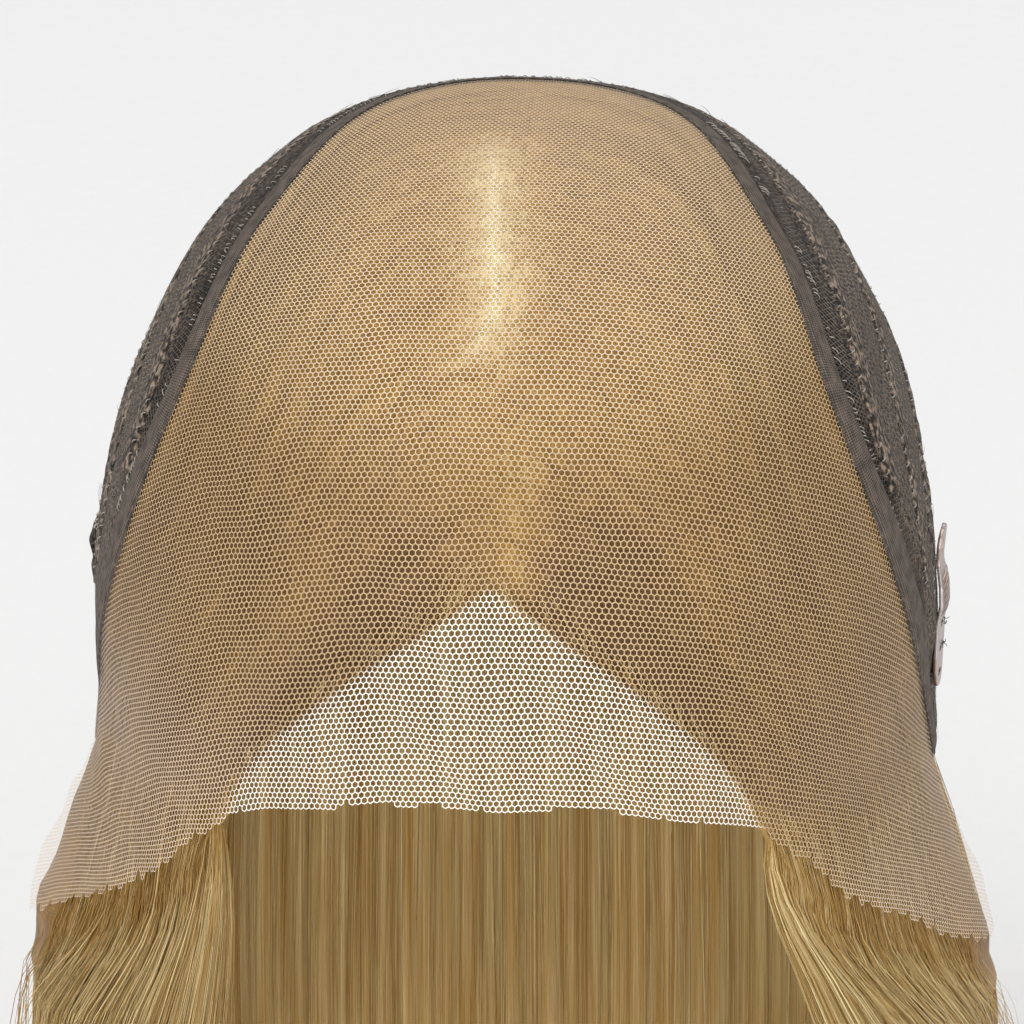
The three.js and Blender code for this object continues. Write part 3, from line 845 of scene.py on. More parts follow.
class WigColours(bpy.types.PropertyGroup):
    lace: colour_of("Lace", "Beige of the lace thread", "#dcc7a0")
    # Knotted lace also paints shade over the middle of the lace, and tab lace also paints light over the
    # crown and down the left side
    lace_knotted_and_shaded: colour_of("Knotted lace", "Lace thread among close knots of hair", "#bb9d75")
    lace_tab_and_painted_light: colour_of("Tab lace", "Pinker lace of the ear tabs and the crown", "#dfc8b0")
    lace_bare: colour_of("Bare lace", "Cream of the lace in front of the hairline", "#efe8dc")
    net: colour_of("Net", "Grey of the cap's net threads", "#74695e")
    cap: colour_of("Cap", "Near black of the cap", "#2b2521")
    tape: colour_of("Tape", "Grey-brown of the seam tape", "#5c5148")
    weft: colour_of("Weft", "Grey-brown of the sewn wefts", "#64574b")
    fuzz: colour_of("Loose hair", "Taupe of the short loose hair on the wefts", "#776b5f")
    thread: colour_of("Thread", "Pale sewing thread", "#b0a79b")
    dark_thread: colour_of("Dark thread", "Dark sewing thread", "#2e2824")
    hair_dark: colour_of("Dark hair", "Darkest brown in the hair", "#6b481f")
    hair: colour_of("Hair", "Golden brown of most of the hair", "#ae863d")
    hair_pale: colour_of("Pale hair", "Palest blond in the hair", "#efdba4")
    steel: colour_of("Steel", "Pinkish grey of the clip", "#aea29f")
    floor: colour_of("Floor", "Pale floor", "#e9e9e9")


# Pieces


class WIG_OT_lace_front(bpy.types.Operator):
    """Knit the hexagon lace over the front of the cap, with pinked teeth along its free edge"""

    bl_idname = "wig.lace_front"
    bl_label = "Lace front"

    def execute(self, context):
        sizes, colours = context.scene.wig_sizes, context.scene.wig_colours
        outline = np.vstack([self.pinked_edge(sizes), seam(np.linspace(1, -1, 400))])
        points, quads, triples = hexagon_net(
            cell=sizes.lace_cell / MM, stretch=1.05, thread=sizes.lace_thread / MM,
            lengths=[0.0, SEAM_CROSSING + 4], tilts=[37.0, 49.0], reach_aside=158,
            outline=outline, pole=LACE_POLE)
        points = points + normal_at(points) * (flare(points) - 0.15)[:, None]
        material = lace_thread(colours)
        for name, spots, faces in halves_of(points, quads, triples):
            drop = drop_of(spots)
            # Pinker lace at the foot of the ear tabs, and painted light down the left side, where the key
            # lamp falls
            pale = np.maximum(0.75 * ease(100, 135, drop), 0.65 * (spots[:, 0] < 0) * ease(60, 95, drop))
            # Painted light over the crown: paler, greyer lace where more light falls from above
            tone = pale + 0.7 * (1 - ease(6, 30, drop))
            # Browner over the middle band, partly for the close knots and partly as painted shade below the
            # lit crown
            knots = 0.85 * ease(8, 32, drop) * (1 - ease(95, 130, drop))
            piece_from("lace_" + name, spots, faces, material, "lace", ["lace_front"], tone=tone, knots=knots,
                       bare=self.bareness(spots))
        return {"FINISHED"}

    def pinked_edge(self, sizes):
        """The lace's free edge, cut into teeth that are longer and closer along the ear tabs."""
        t = np.linspace(-1, 1, 2600)
        edge, hem = front_edge(t), seam(t)
        run = lengths_of(edge)
        aside = np.abs(run - run[-1] / 2)
        pitch = mix(8.0, 5.7, ease(70, 92, aside))
        phase = np.concatenate([[0], np.cumsum(np.diff(run) / pitch[1:])])
        step = phase % 1
        tooth = np.maximum(0.5 * step, np.clip(1 - np.minimum(step, 1 - step) / 0.1, 0, 1))
        on_tab = ease(66, 92, aside)
        depth = mix(sizes.tooth_forehead, sizes.tooth_tab, on_tab) / MM
        depth = depth * (1 + 0.3 * ripple(0.4 * run, 3))
        width = np.maximum(np.linalg.norm(hem - edge, axis=1), 6)
        spare = 1.4 * on_tab
        return on_form(mix(edge, hem, np.minimum(0.8, (tooth * depth - spare) / width)[:, None]))

    def bareness(self, spots):
        """0 where hair lies under the lace, 1 in front of the hairline, up to 0.75 along the parting."""
        ends = np.linspace(-1, 1, 500)
        line = hairline(ends)
        outline = np.vstack([line, seam(ends[::-1])])
        haired = is_within(flat_map(outline, LACE_POLE), flat_map(spots, LACE_POLE))
        away = away_from(line, spots)
        return np.maximum(ease(-0.4, 1.6, np.where(haired, -away, away)), 0.75 * parting(spots)[0])


class WIG_OT_back_cap(bpy.types.Operator):
    """Make the dark back of the cap: a brushed lining under a stretch net"""

    bl_idname = "wig.back_cap"
    bl_label = "Back cap"

    def execute(self, context):
        sizes, colours = context.scene.wig_sizes, context.scene.wig_colours
        self.lining(dark_lining(colours))
        thread = net_thread(colours)
        self.net(sizes, thread)
        self.band_net(thread, sewing_thread(PALE_THREAD, colours.thread))
        return {"FINISHED"}

    def lining(self, knit):
        share, t = np.linspace(0.004, 1, 46)[:, None], np.linspace(-1, 1, 150)[None, :]
        surface = on_form(mix(cap_front(t + 0 * share), nape(t + 0 * share), share[..., None]))
        out = normal_at(surface)
        lift = cap_height(surface.reshape(-1, 3)).reshape(surface.shape[:2])[..., None]
        lint = np.maximum(ease(0.06, 0.16, share), ease(0.55, 0.7, -t))
        thick = 0.65
        outer, inner = surface + out * lift, surface + out * (lift - thick)
        shell_piece("cap_lining", outer, inner, knit, "cap_net", ["cap_back"], lint=lint)

    def net(self, sizes, thread):
        ends = np.linspace(-1, 1, 400)
        outline = np.vstack([cap_front(ends), nape(ends[::-1])])
        points, quads, triples = hexagon_net(
            cell=sizes.net_cell / MM, stretch=1.9, thread=sizes.net_thread / MM,
            lengths=[SEAM_CROSSING - 4, MIDDLE_LENGTHS[-1]], tilts=[178.0, 142.0], reach_aside=180,
            outline=outline, pole=CAP_POLE)
        # The net starts behind the dark band and is drawn over the wefts
        away = away_from(cap_front(ends), points)
        points = points + normal_at(points) * (cap_height(points) + 0.15)[:, None]
        points, faces = part_of(points, [f[away[f].min(1) > 10] for f in (quads, triples)])
        piece_from("cap_net", points, faces, thread, "cap_net", ["cap_back"])

    def band_net(self, thread, pale):
        """Cross fine threads over the dark band behind the tape, with broken runs of slanting stitches."""
        columns = 6
        surface, _, weave = ribbon_grid(
            cap_front, ends=0.96, stations=300, near=2.5, far=12.5, columns=columns)[:3]
        run = weave[:, 0, 1]

        def spot(column, places):
            return at_lengths(places, run, surface[:, column])

        starts = np.arange(8, run[-1] - 8, 1.3)
        paths = np.vstack([
            np.stack([spot(column, starts + way * 1.2 * (column - 2.5)) for column in range(columns)], 1)
            for way in (-1, 1)])
        ways = normal_at(paths[:, 2])
        paths = paths + np.linspace(-0.35, -0.1, columns)[None, :, None] * ways[:, None]
        thread_piece("cap_band_net", paths, ways, thread, "cap_net", ["cap_back"], radius=0.08)
        draw = np.random.default_rng(17)
        starts = np.arange(6, run[-1] - 6, 1.1)
        starts = starts[ripple(0.12 * starts, 18) + draw.normal(0, 0.2, len(starts)) > 0]
        starts = starts + draw.normal(0, 0.25, len(starts))
        low, high = spot(1, starts), spot(2, starts + 0.9 + draw.normal(0, 0.5, len(starts)))
        first, last = (draw.uniform(*limits, (len(starts), 1)) for limits in ((-0.1, 0.3), (0.6, 1.1)))
        low, high = mix(low, high, first), mix(low, high, last)
        ways = normal_at(low)
        paths = arches(low, high, ways, rise=0.3, stations=4)
        thread_piece("cap_band_stitches", paths, ways, pale, "cap_net", radius=0.1)


def cap_height(points):
    """How far the cap's cloth stands out: low beside the tape, higher at the wefts, the clip and the tab."""
    turn, drop = turn_and_drop(points)
    clip = 1.1 * np.exp(-(((turn - CLIP_TURN) / 7) ** 2) - ((drop - CLIP_DROP - 6) / 17) ** 2)
    tab = 0.7 * np.exp(-(((turn - TAB_TURN) / 9) ** 2) - ((drop - TAB_DROP) / 14) ** 2)
    away = away_from(cap_front(np.linspace(-1, 1, 400)), points)
    left = points[..., 0] < 0
    behind = np.maximum(ease(8, 13, away), left * ease(50, 66, drop) * (1 - ease(92, 102, drop)))
    return mix(-0.55, 0.35, behind) * crown_lift(points) + clip + tab - 0.6 * left * ease(98, 108, drop)


def ribbon_grid(line, ends, stations, near, far, columns, narrowing=0.0):
    """A band along a line of the cap: its points, the way out, its weave (across, along), and its two ways.

    near and far are its edges, behind the line, as numbers or one for each station. narrowing is by how much
    it is narrower over the crown.
    """
    t = np.linspace(-ends, ends, stations)
    middle = line(t)
    along = unit(line(t + 0.004) - line(t - 0.004))
    across = unit(np.cross(normal_at(middle), along))
    width = (far - near) * (1 - narrowing * (1 - ease(0.45, 0.8, np.abs(t))))
    places = np.broadcast_to(near, t.shape)[:, None] + width[:, None] * np.linspace(0, 1, columns)
    surface = on_form(middle[:, None] + across[:, None] * places[..., None])
    run = lengths_of(middle)
    weave = np.stack(np.broadcast_arrays(places, run[:, None], 0.0), -1)
    return surface, normal_at(surface), weave, along, across


class WIG_OT_seam_tape(bpy.types.Operator):
    """Lay the ribbed tape over the seam between lace and cap, with its stitching"""

    bl_idname = "wig.seam_tape"
    bl_label = "Seam tape"

    def execute(self, context):
        colours = context.scene.wig_colours
        stations, columns = 220, 9
        t = np.linspace(-TAPE_ENDS, TAPE_ENDS, stations)
        aside, left = np.abs(t), t < 0
        # It laps a little further over the lace beside the crown and on the left, where its end tapers
        lap = (1.3 * ease(0.35, 0.5, aside) + 0.8 * ease(0.58, 0.7, aside)) * (1 - ease(0.78, 0.9, aside))
        lap = np.maximum(lap, 2.6 * left * ease(0.5, 0.72, aside))
        wide = 0.7 * ease(0.35, 0.5, aside) * (1 - ease(0.8, 0.95, aside))
        far = (TAPE_FAR + wide) * (1 - left * (0.5 * ease(0.6, 0.75, aside) + 0.3 * ease(0.8, 0.95, aside)))
        surface, out, weave = ribbon_grid(
            cap_front, TAPE_ENDS, stations, TAPE_NEAR - lap, far, columns, narrowing=0.3)[:3]
        bow = np.sqrt(np.clip(1 - np.linspace(-1, 1, columns) ** 2, 0, 1))[None, :]
        lift = 0.15 + 0.5 * bow + 0.12 * ripple(0.22 * weave[..., 1] + 0.6 * weave[..., 0], 11)
        lift = lift * crown_lift(surface) - 0.8 * (left * ease(0.84, 0.92, aside))[:, None]
        outer = surface + out * lift[..., None]
        inner = surface + out * (np.minimum(lift, 0) - 0.3)[..., None]
        ribbon = woven_ribbon(colours)
        shell_piece("seam_tape_ribbon", outer, inner, ribbon, "tape", ["seam_tape"], weave=weave)
        # Running stitches along the lace side of the tape
        long, apart = 2.1, 0.5
        run = weave[:, 0, 1]
        starts = np.arange(1.0, run[-1] - 3, long + apart)
        low, high = (at_lengths(starts + step, run, surface[:, 0]) for step in (0.0, long))
        ways = normal_at(low)
        lift = np.interp(starts, run, lift[:, 0])[:, None] * ways
        paths = arches(low + lift, high + lift, ways, rise=0.1, stations=4)
        thread = sewing_thread(DARK_THREAD, colours.dark_thread)
        thread_piece("tape_stitches", paths, ways, thread, "tape", radius=0.1, sides=4)
        return {"FINISHED"}


def weft_lines():
    """Each weft's line and how far it runs before it would meet the one in front."""
    ahead, room = cap_front, TAPE_FAR + WEFT_WIDTH / 2 + WEFT_APART
    steps = np.arange(0, 1.005, 0.01)
    for number in range(WEFT_COUNT):
        line = between(cap_front, nape, mix(WEFT_FIRST, WEFT_LAST, number / (WEFT_COUNT - 1)))
        ends = 0.98
        while np.linalg.norm(ahead(steps) - line(np.array(ends)), axis=1).min() < room:
            ends -= 0.01
        yield number, line, ends
        ahead, room = line, WEFT_WIDTH + WEFT_APART


class WIG_OT_weft_tracks(bpy.types.Operator):
    """Sew the rows of hair wefts across the back of the cap"""

    bl_idname = "wig.weft_tracks"
    bl_label = "Weft tracks"

    def execute(self, context):
        sizes, colours = context.scene.wig_sizes, context.scene.wig_colours
        track = sewn_weft(colours)
        draw = np.random.default_rng(21)
        seams, fuzz = [], []
        places = np.linspace(-1, 1, 7)[None, :]
        bow = np.sqrt(1 - places**4)
        for number, line, ends in weft_lines():
            surface, out, weave, along, across = ribbon_grid(
                line, ends, stations=140, near=-WEFT_WIDTH / 2, far=WEFT_WIDTH / 2, columns=places.size)
            lumps = ripple(0.5 * weave[..., 1] + 1.3 * weave[..., 0], 31 + number)
            lift = (0.1 + bow * (0.75 + 0.3 * lumps)) * crown_lift(surface)
            stray = 0.4 * ripple(0.8 * weave[..., 1], 51 + number) * np.abs(places) ** 3
            edged = surface + across[:, None] * stray[..., None]
            weave[..., 2] = 10 * number
            name = "weft_%02d" % (number + 1)
            outer, inner = edged + out * lift[..., None], edged - out * 0.6
            shell_piece(name + "_track", outer, inner, track, "weft", [name], weave=weave)
            seams.append(self.beads(surface, across, weave[:, 0, 1]))
            fuzz.append(self.loose_hairs(draw, surface, out, along, across))
        paths, ways = (np.vstack(both) for both in zip(*seams))
        pale = sewing_thread(PALE_THREAD, colours.thread)
        thread_piece("weft_stitches", paths, ways, pale, "weft", radius=0.12)
        paths, ways = (np.vstack(both) for both in zip(*fuzz))
        radii = np.full(paths.shape[:2], sizes.fuzz / MM / 2) * np.linspace(1, 0.4, paths.shape[1])
        points, faces = tubes(paths, radii, ways[:, None])
        piece_from("weft_fuzz", points, faces, sewing_thread("Short loose hair", colours.fuzz), "weft")
        return {"FINISHED"}

    def beads(self, surface, across, run):
        """Small stitches 2.4 mm apart over the weft's front edge."""
        starts = np.arange(1.0, run[-1] - 2, 2.4)
        starts = starts[ripple(0.21 * starts, 19) > -0.25]

        def spot(step, ahead):
            place = at_lengths(starts + step, run, surface[:, 0] - across * 0.2)
            return place - at_lengths(starts + step, run, across) * ahead

        low, high = spot(0.7, 0.3), spot(0.0, -0.6)
        ways = normal_at(low)
        lift = ways * crown_lift(low)[:, None]
        return arches(low + lift * 0.5, high + lift * 0.8, lift, rise=0.3, stations=4), ways

    def loose_hairs(self, draw, surface, out, along, across, count=110):
        """Short hairs that have worked loose from a weft and lie close along it."""
        each = (count, 1)
        rows = draw.integers(3, surface.shape[0] - 3, count)
        columns = draw.integers(0, surface.shape[1], count)
        ways = out[rows, columns]
        root = surface[rows, columns] + ways * 0.7 * crown_lift(surface[rows, columns])[:, None]
        heading = np.where(draw.random(count) < 0.5, -1, 1)[:, None] * along[rows]
        heading = unit(heading + across[rows] * draw.normal(0, 0.5, each)) * draw.uniform(2, 5, each)
        share = np.linspace(0, 1, 4)[None, :, None]
        climb = draw.gamma(1.2, 0.16, (count, 1, 1))
        paths = root[:, None] + heading[:, None] * share + ways[:, None] * climb * share * (1.7 - share)
        sunk = on_form(paths) - paths
        return paths + np.where(np.sum(sunk * normal_at(paths), -1, keepdims=True) > 0, sunk, 0), ways


class WIG_OT_edge_tab(bpy.types.Operator):
    """Fold the lumpy fabric tab onto the left side of the cap"""

    bl_idname = "wig.edge_tab"
    bl_label = "Edge tab"

    def execute(self, context):
        colours = context.scene.wig_colours
        k, s = np.linspace(0, 1, 40)[:, None], np.linspace(0, 1, 22)[None, :]
        lean = math.radians(TAB_LEAN)
        along = (k - 0.5) * TAB_LONG
        across = (s - 0.5) * TAB_WIDE * (1 - TAB_NARROWING * (2 * k - 1) ** 2)
        shift = np.stack(np.broadcast_arrays(
            0.0, across * math.cos(lean) - along * math.sin(lean),
            along * math.cos(lean) + across * math.sin(lean)), -1)
        surface = on_form(point_at(TAB_TURN, TAB_DROP) + shift)
        out = normal_at(surface)
        rim = np.sqrt(np.clip(1 - (2 * s - 1) ** 4, 0, 1)) * np.sqrt(np.clip(1 - (2 * k - 1) ** 6, 0, 1))
        bumps = np.exp(-((k - 0.75) / 0.13) ** 2) + 0.8 * np.exp(-((k - 0.36) / 0.16) ** 2)
        lift = 1.2 + rim * (0.6 + 1.0 * bumps + 0.25 * ripple(9 * k + 5 * s, 77))
        outer, inner = surface + out * lift[..., None], surface + out * 0.9
        shell_piece("edge_tab_fold", outer, inner, dark_lining(colours), "cap_net", ["edge_tab"])
        # Whip stitches along the tab's ends
        near = surface[[3, 3, 3, 36, 36, 36], [5, 10, 16, 5, 10, 16]]
        far = surface[[0, 0, 0, 39, 39, 39], [6, 11, 17, 4, 9, 15]]
        ways = normal_at(near)
        paths = arches(near + 1.6 * ways, far + 0.6 * ways, ways, rise=0.6)
        pale = sewing_thread(PALE_THREAD, colours.thread)
        thread_piece("edge_tab_stitches", paths, ways, pale, "cap_net", radius=0.28, sides=5)
        return {"FINISHED"}


class WIG_OT_side_clip(bpy.types.Operator):
    """Stamp the steel clip, with its ribs, slot and sewing holes, and sew it to the cap"""

    bl_idname = "wig.side_clip"
    bl_label = "Side clip"

    def execute(self, context):
        colours = context.scene.wig_colours
        along, half, bend = np.array(CLIP_SHAPE).T
        plate, faces = self.stamped_plate(context, along, half)
        out = np.array([0.0, 0.0, 1.0])
        # Ribs pressed across the plate, fanning a little
        ribs, apart = 6, 1.35
        steps = apart * np.arange(ribs)
        low = np.stack([np.full(ribs, -3.0), -1.2 + steps, np.full(ribs, 0.45)], -1)
        high = np.stack([np.full(ribs, 3.0), 0.2 + steps, np.full(ribs, 0.45)], -1)
        paths = arches(low, high, out[None], rise=0.45, stations=9)
        pressed, rib_faces = tubes(paths, np.full(paths.shape[:2], 0.38), out, 8)
        points = np.vstack([plate, pressed])
        points[:, 2] += np.interp(points[:, 1], along, bend)
        faces = [*faces, *(f + len(plate) for f in rib_faces)]
        steel = spring_steel(colours)
        piece_from("side_clip_steel", self.placed(points), faces, steel, "steel", ["side_clip"])
        # Loops of dark thread from the sewing holes over the plate's edge into the cap
        draw = np.random.default_rng(5)
        starts, ends = [], []
        for spot in CLIP_HOLES:
            for way in 4 * (-1, 1):
                starts.append((0.3 * draw.normal(), spot + 0.35 * draw.normal(), 0.5))
                ends.append((way * (CLIP_WIDE / 2 + 0.1), spot + 0.9 * draw.normal(), -1.6))
        loops = arches(np.array(starts), np.array(ends), out[None], rise=0.9, stations=7)
        # Tufts of thread ends at the holes
        tufts = 14
        roots = np.repeat([(1.0, spot, 0.3) for spot in CLIP_HOLES], tufts, 0)
        roots = roots + draw.normal(0, 0.35, roots.shape)
        ends = roots + np.array([0.9, 0.0, 0.4]) + draw.normal(0, 0.4, roots.shape)
        tips = arches(roots, ends, draw.normal(0, 1, roots.shape), rise=0.25)
        dark = sewing_thread(DARK_THREAD, colours.dark_thread)
        for name, paths, radius, sides in (("thread", loops, 0.22, 5), ("tufts", tips, 0.08, 3)):
            points, faces = tubes(paths, np.full(paths.shape[:2], radius), np.array([0.0, 1.0, 0.0]), sides)
            piece_from("side_clip_" + name, self.placed(points), faces, dark, "tape")
        return {"FINISHED"}

    def stamped_plate(self, context, along, half):
        """The plate with its holes and slot, from a filled curve with rounded edges: its points and faces."""
        places = np.linspace(along[0], along[-1], 81)
        halves = np.interp(places, along, half)
        outline = np.vstack([np.stack([halves, places], -1), np.stack([-halves, places], -1)[-2:0:-1]])
        turn = np.linspace(0, 2 * np.pi, 25)[:-1]
        cuts = [*((CLIP_HOLE, CLIP_HOLE, spot) for spot in CLIP_HOLES), CLIP_SLOT]
        rings = [np.stack([a * np.cos(turn), spot + b * np.sin(turn)], -1) for a, b, spot in cuts]
        drawn = bpy.data.curves.new("clip_plate", "CURVE")
        drawn.dimensions, drawn.fill_mode = "2D", "BOTH"
        drawn.extrude, drawn.bevel_depth, drawn.bevel_resolution = 0.22, 0.16, 2
        for ring in (outline, *rings):
            spline = drawn.splines.new("POLY")
            spline.points.add(len(ring) - 1)
            for point, (x, y) in zip(spline.points, ring):
                point.co = (x, y, 0, 1)
            spline.use_cyclic_u = True
        holder = bpy.data.objects.new("clip_plate", drawn)
        context.scene.collection.objects.link(holder)
        context.view_layer.update()
        stamped = bpy.data.meshes.new_from_object(holder.evaluated_get(context.evaluated_depsgraph_get()))
        bpy.data.objects.remove(holder)
        plate = np.array([v.co for v in stamped.vertices])
        faces = [np.array(p.vertices) for p in stamped.polygons]
        bpy.data.meshes.remove(stamped)
        plate[:, 2] += CLIP_THICK / 2
        return plate, faces

    @staticmethod
    def placed(local):
        """Points of the clip's own frame (across, up, out) set on the cap."""
        spot = point_at(CLIP_TURN, CLIP_DROP)
        out = normal_at(spot)
        place = spot + out * CLIP_LIFT
        lean, twist, pitch = (math.radians(angle) for angle in (CLIP_LEAN, CLIP_TWIST, CLIP_PITCH))
        up = np.array([0, math.sin(lean), math.cos(lean)])
        up = unit(up + (math.tan(pitch) - up @ out) * out)
        out = unit(out - out @ up * up)
        out = out * math.cos(twist) - np.cross(up, out) * math.sin(twist)
        return place + local @ np.stack([np.cross(up, out), up, out])


class WIG_OT_combed_hair(bpy.types.Operator):
    """Comb the body of the hair: under the lace and cap, and hanging at the sides and back"""

    bl_idname = "wig.combed_hair"
    bl_label = "Combed hair"

    def execute(self, context):
        hair = human_hair(context.scene.wig_colours, "Combed human hair", relief=True)
        for name, way, seed in (("left", -1, 3), ("right", 1, 4)):
            self.side(name, way, seed, hair)
        self.back(hair)
        return {"FINISHED"}

    def side(self, name, way, seed, hair):
        rows, under, fall = 60, 90, 30
        share = np.linspace(0, 1, rows)[:, None]
        # Both sides reach a little over the middle, so that no gap shows between them
        along = np.concatenate([[-0.006], np.linspace(0, 1, under - 1) ** 1.35, np.ones(fall)])[None, :]
        share, along, hang = np.broadcast_arrays(share, along, self.falling(under, fall))
        ragged = (0.012 + 0.014 * ripple(55 * along, seed)) * (1 - hang) - hairline_shift(way, along)
        used = share + (1 - share) ** 6 * ragged
        ends = np.random.default_rng(seed + 10).normal(0, 1.2, (rows, 1))
        end = SIDE_END + 2 * ripple(30 * share, seed + 11) + ends
        relief = 0.35 * ripple(60 * share, seed + 20) + 0.25 * ripple(150 * share + 2 * along, seed + 21)
        sunk = mix(-1.6, -4.0, ease(0.72, 1, along) * (1 - ease(0.8, 0.97, share)))
        # It comes up to the lace at the seam
        close = ease(0.84, 0.99, share) * (1 - ease(0, 0.05, hang))
        sunk, relief = mix(sunk, -0.55, close), relief * (1 - 0.8 * close)
        # Its outer edge sinks in later, below the ear tab
        settled = ease(0, mix(0.22, 0.5, ease(0.75, 0.95, share)), hang)
        depth = mix(sunk, -8.0, settled) + self.loosened(relief, hang)
        points, out = side_hair(way, used, along, hang, depth, end)
        # Painted shade: the hair is darker under the lace than where it hangs free
        tint = lining_tint(points, share, along) + 0.3 * ease(0, 0.12, hang)
        # Under the lace the streaks waver, as the hair is knotted in by hand
        waver = 5 * ripple(40 * along + 22 * share, seed + 30)
        waver = waver + 4 * ripple(110 * along - 60 * share, seed + 31)
        across = share * 150 + waver * (1 - hang)
        self.add_sheet("hair_" + name, points, out, hang, hair, thick=0.9, across=across, shift=40.0 * seed,
                       tint=tint, knotted=1 - ease(0, 0.05, hang))

    def back(self, hair):
        rows, under, fall = 120, 20, 30
        t = np.linspace(-0.955, 0.955, rows)[:, None]
        share = np.concatenate([np.linspace(0.02, 1, under), np.ones(fall)])[None, :]
        t, share, hang = np.broadcast_arrays(t, share, self.falling(under, fall))
        cap = on_form(mix(cap_front(t), nape(t), share[..., None]))
        turn, drop = turn_and_drop(cap)
        turn = np.where(turn < 0, turn + 360, turn)
        edge_turn, leaving = turn[:, under - 1 : under], drop[:, under - 1 : under]
        spread = mix(edge_turn, 180 + (edge_turn - 180) * 0.985, hang)
        end = BACK_END + 2 * ripple(45 * t, 61) + np.random.default_rng(62).normal(0, 1.2, (rows, 1))
        points = np.where((hang > 0)[..., None], point_at(spread, leaving + (end - leaving) * hang), cap)
        out = normal_at(points)
        relief = 0.3 * ripple(80 * t, 63) + 0.25 * ripple(210 * t, 64)
        depth = mix(-2.9, -7.6, ease(0, 0.25, hang)) + self.loosened(relief, hang)
        points = points + out * depth[..., None]
        self.add_sheet("hair_back", points, out, hang, hair, thick=1.4, across=t * 230, shift=300.0,
                       tint=np.full(hang.shape, 0.66))

    def falling(self, under, fall):
        """0 for the steps under the lace or cap, then up to 1 at the hair's ends."""
        return np.concatenate([np.zeros(under), np.linspace(0, 1, fall + 1)[1:]])[None, :]

    def loosened(self, relief, hang):
        return relief * (1 + 2.5 * ease(0, 0.3, hang))

    def add_sheet(self, node, points, out, hang, hair, thick, across, shift, **grids):
        """One combed sheet, thicker where it hangs and thinner at its ends, with its streaks' places."""
        thick = mix(thick, 2.4, ease(0.0, 0.2, hang)) * (1 - 0.8 * ease(0.8, 1, hang))
        strand = np.stack(np.broadcast_arrays(across, lengths_of(points), shift), -1)
        shell_piece(node + "_combed", points, points - out * thick[..., None], hair, "hair", [node],
                    strand=strand, **grids)


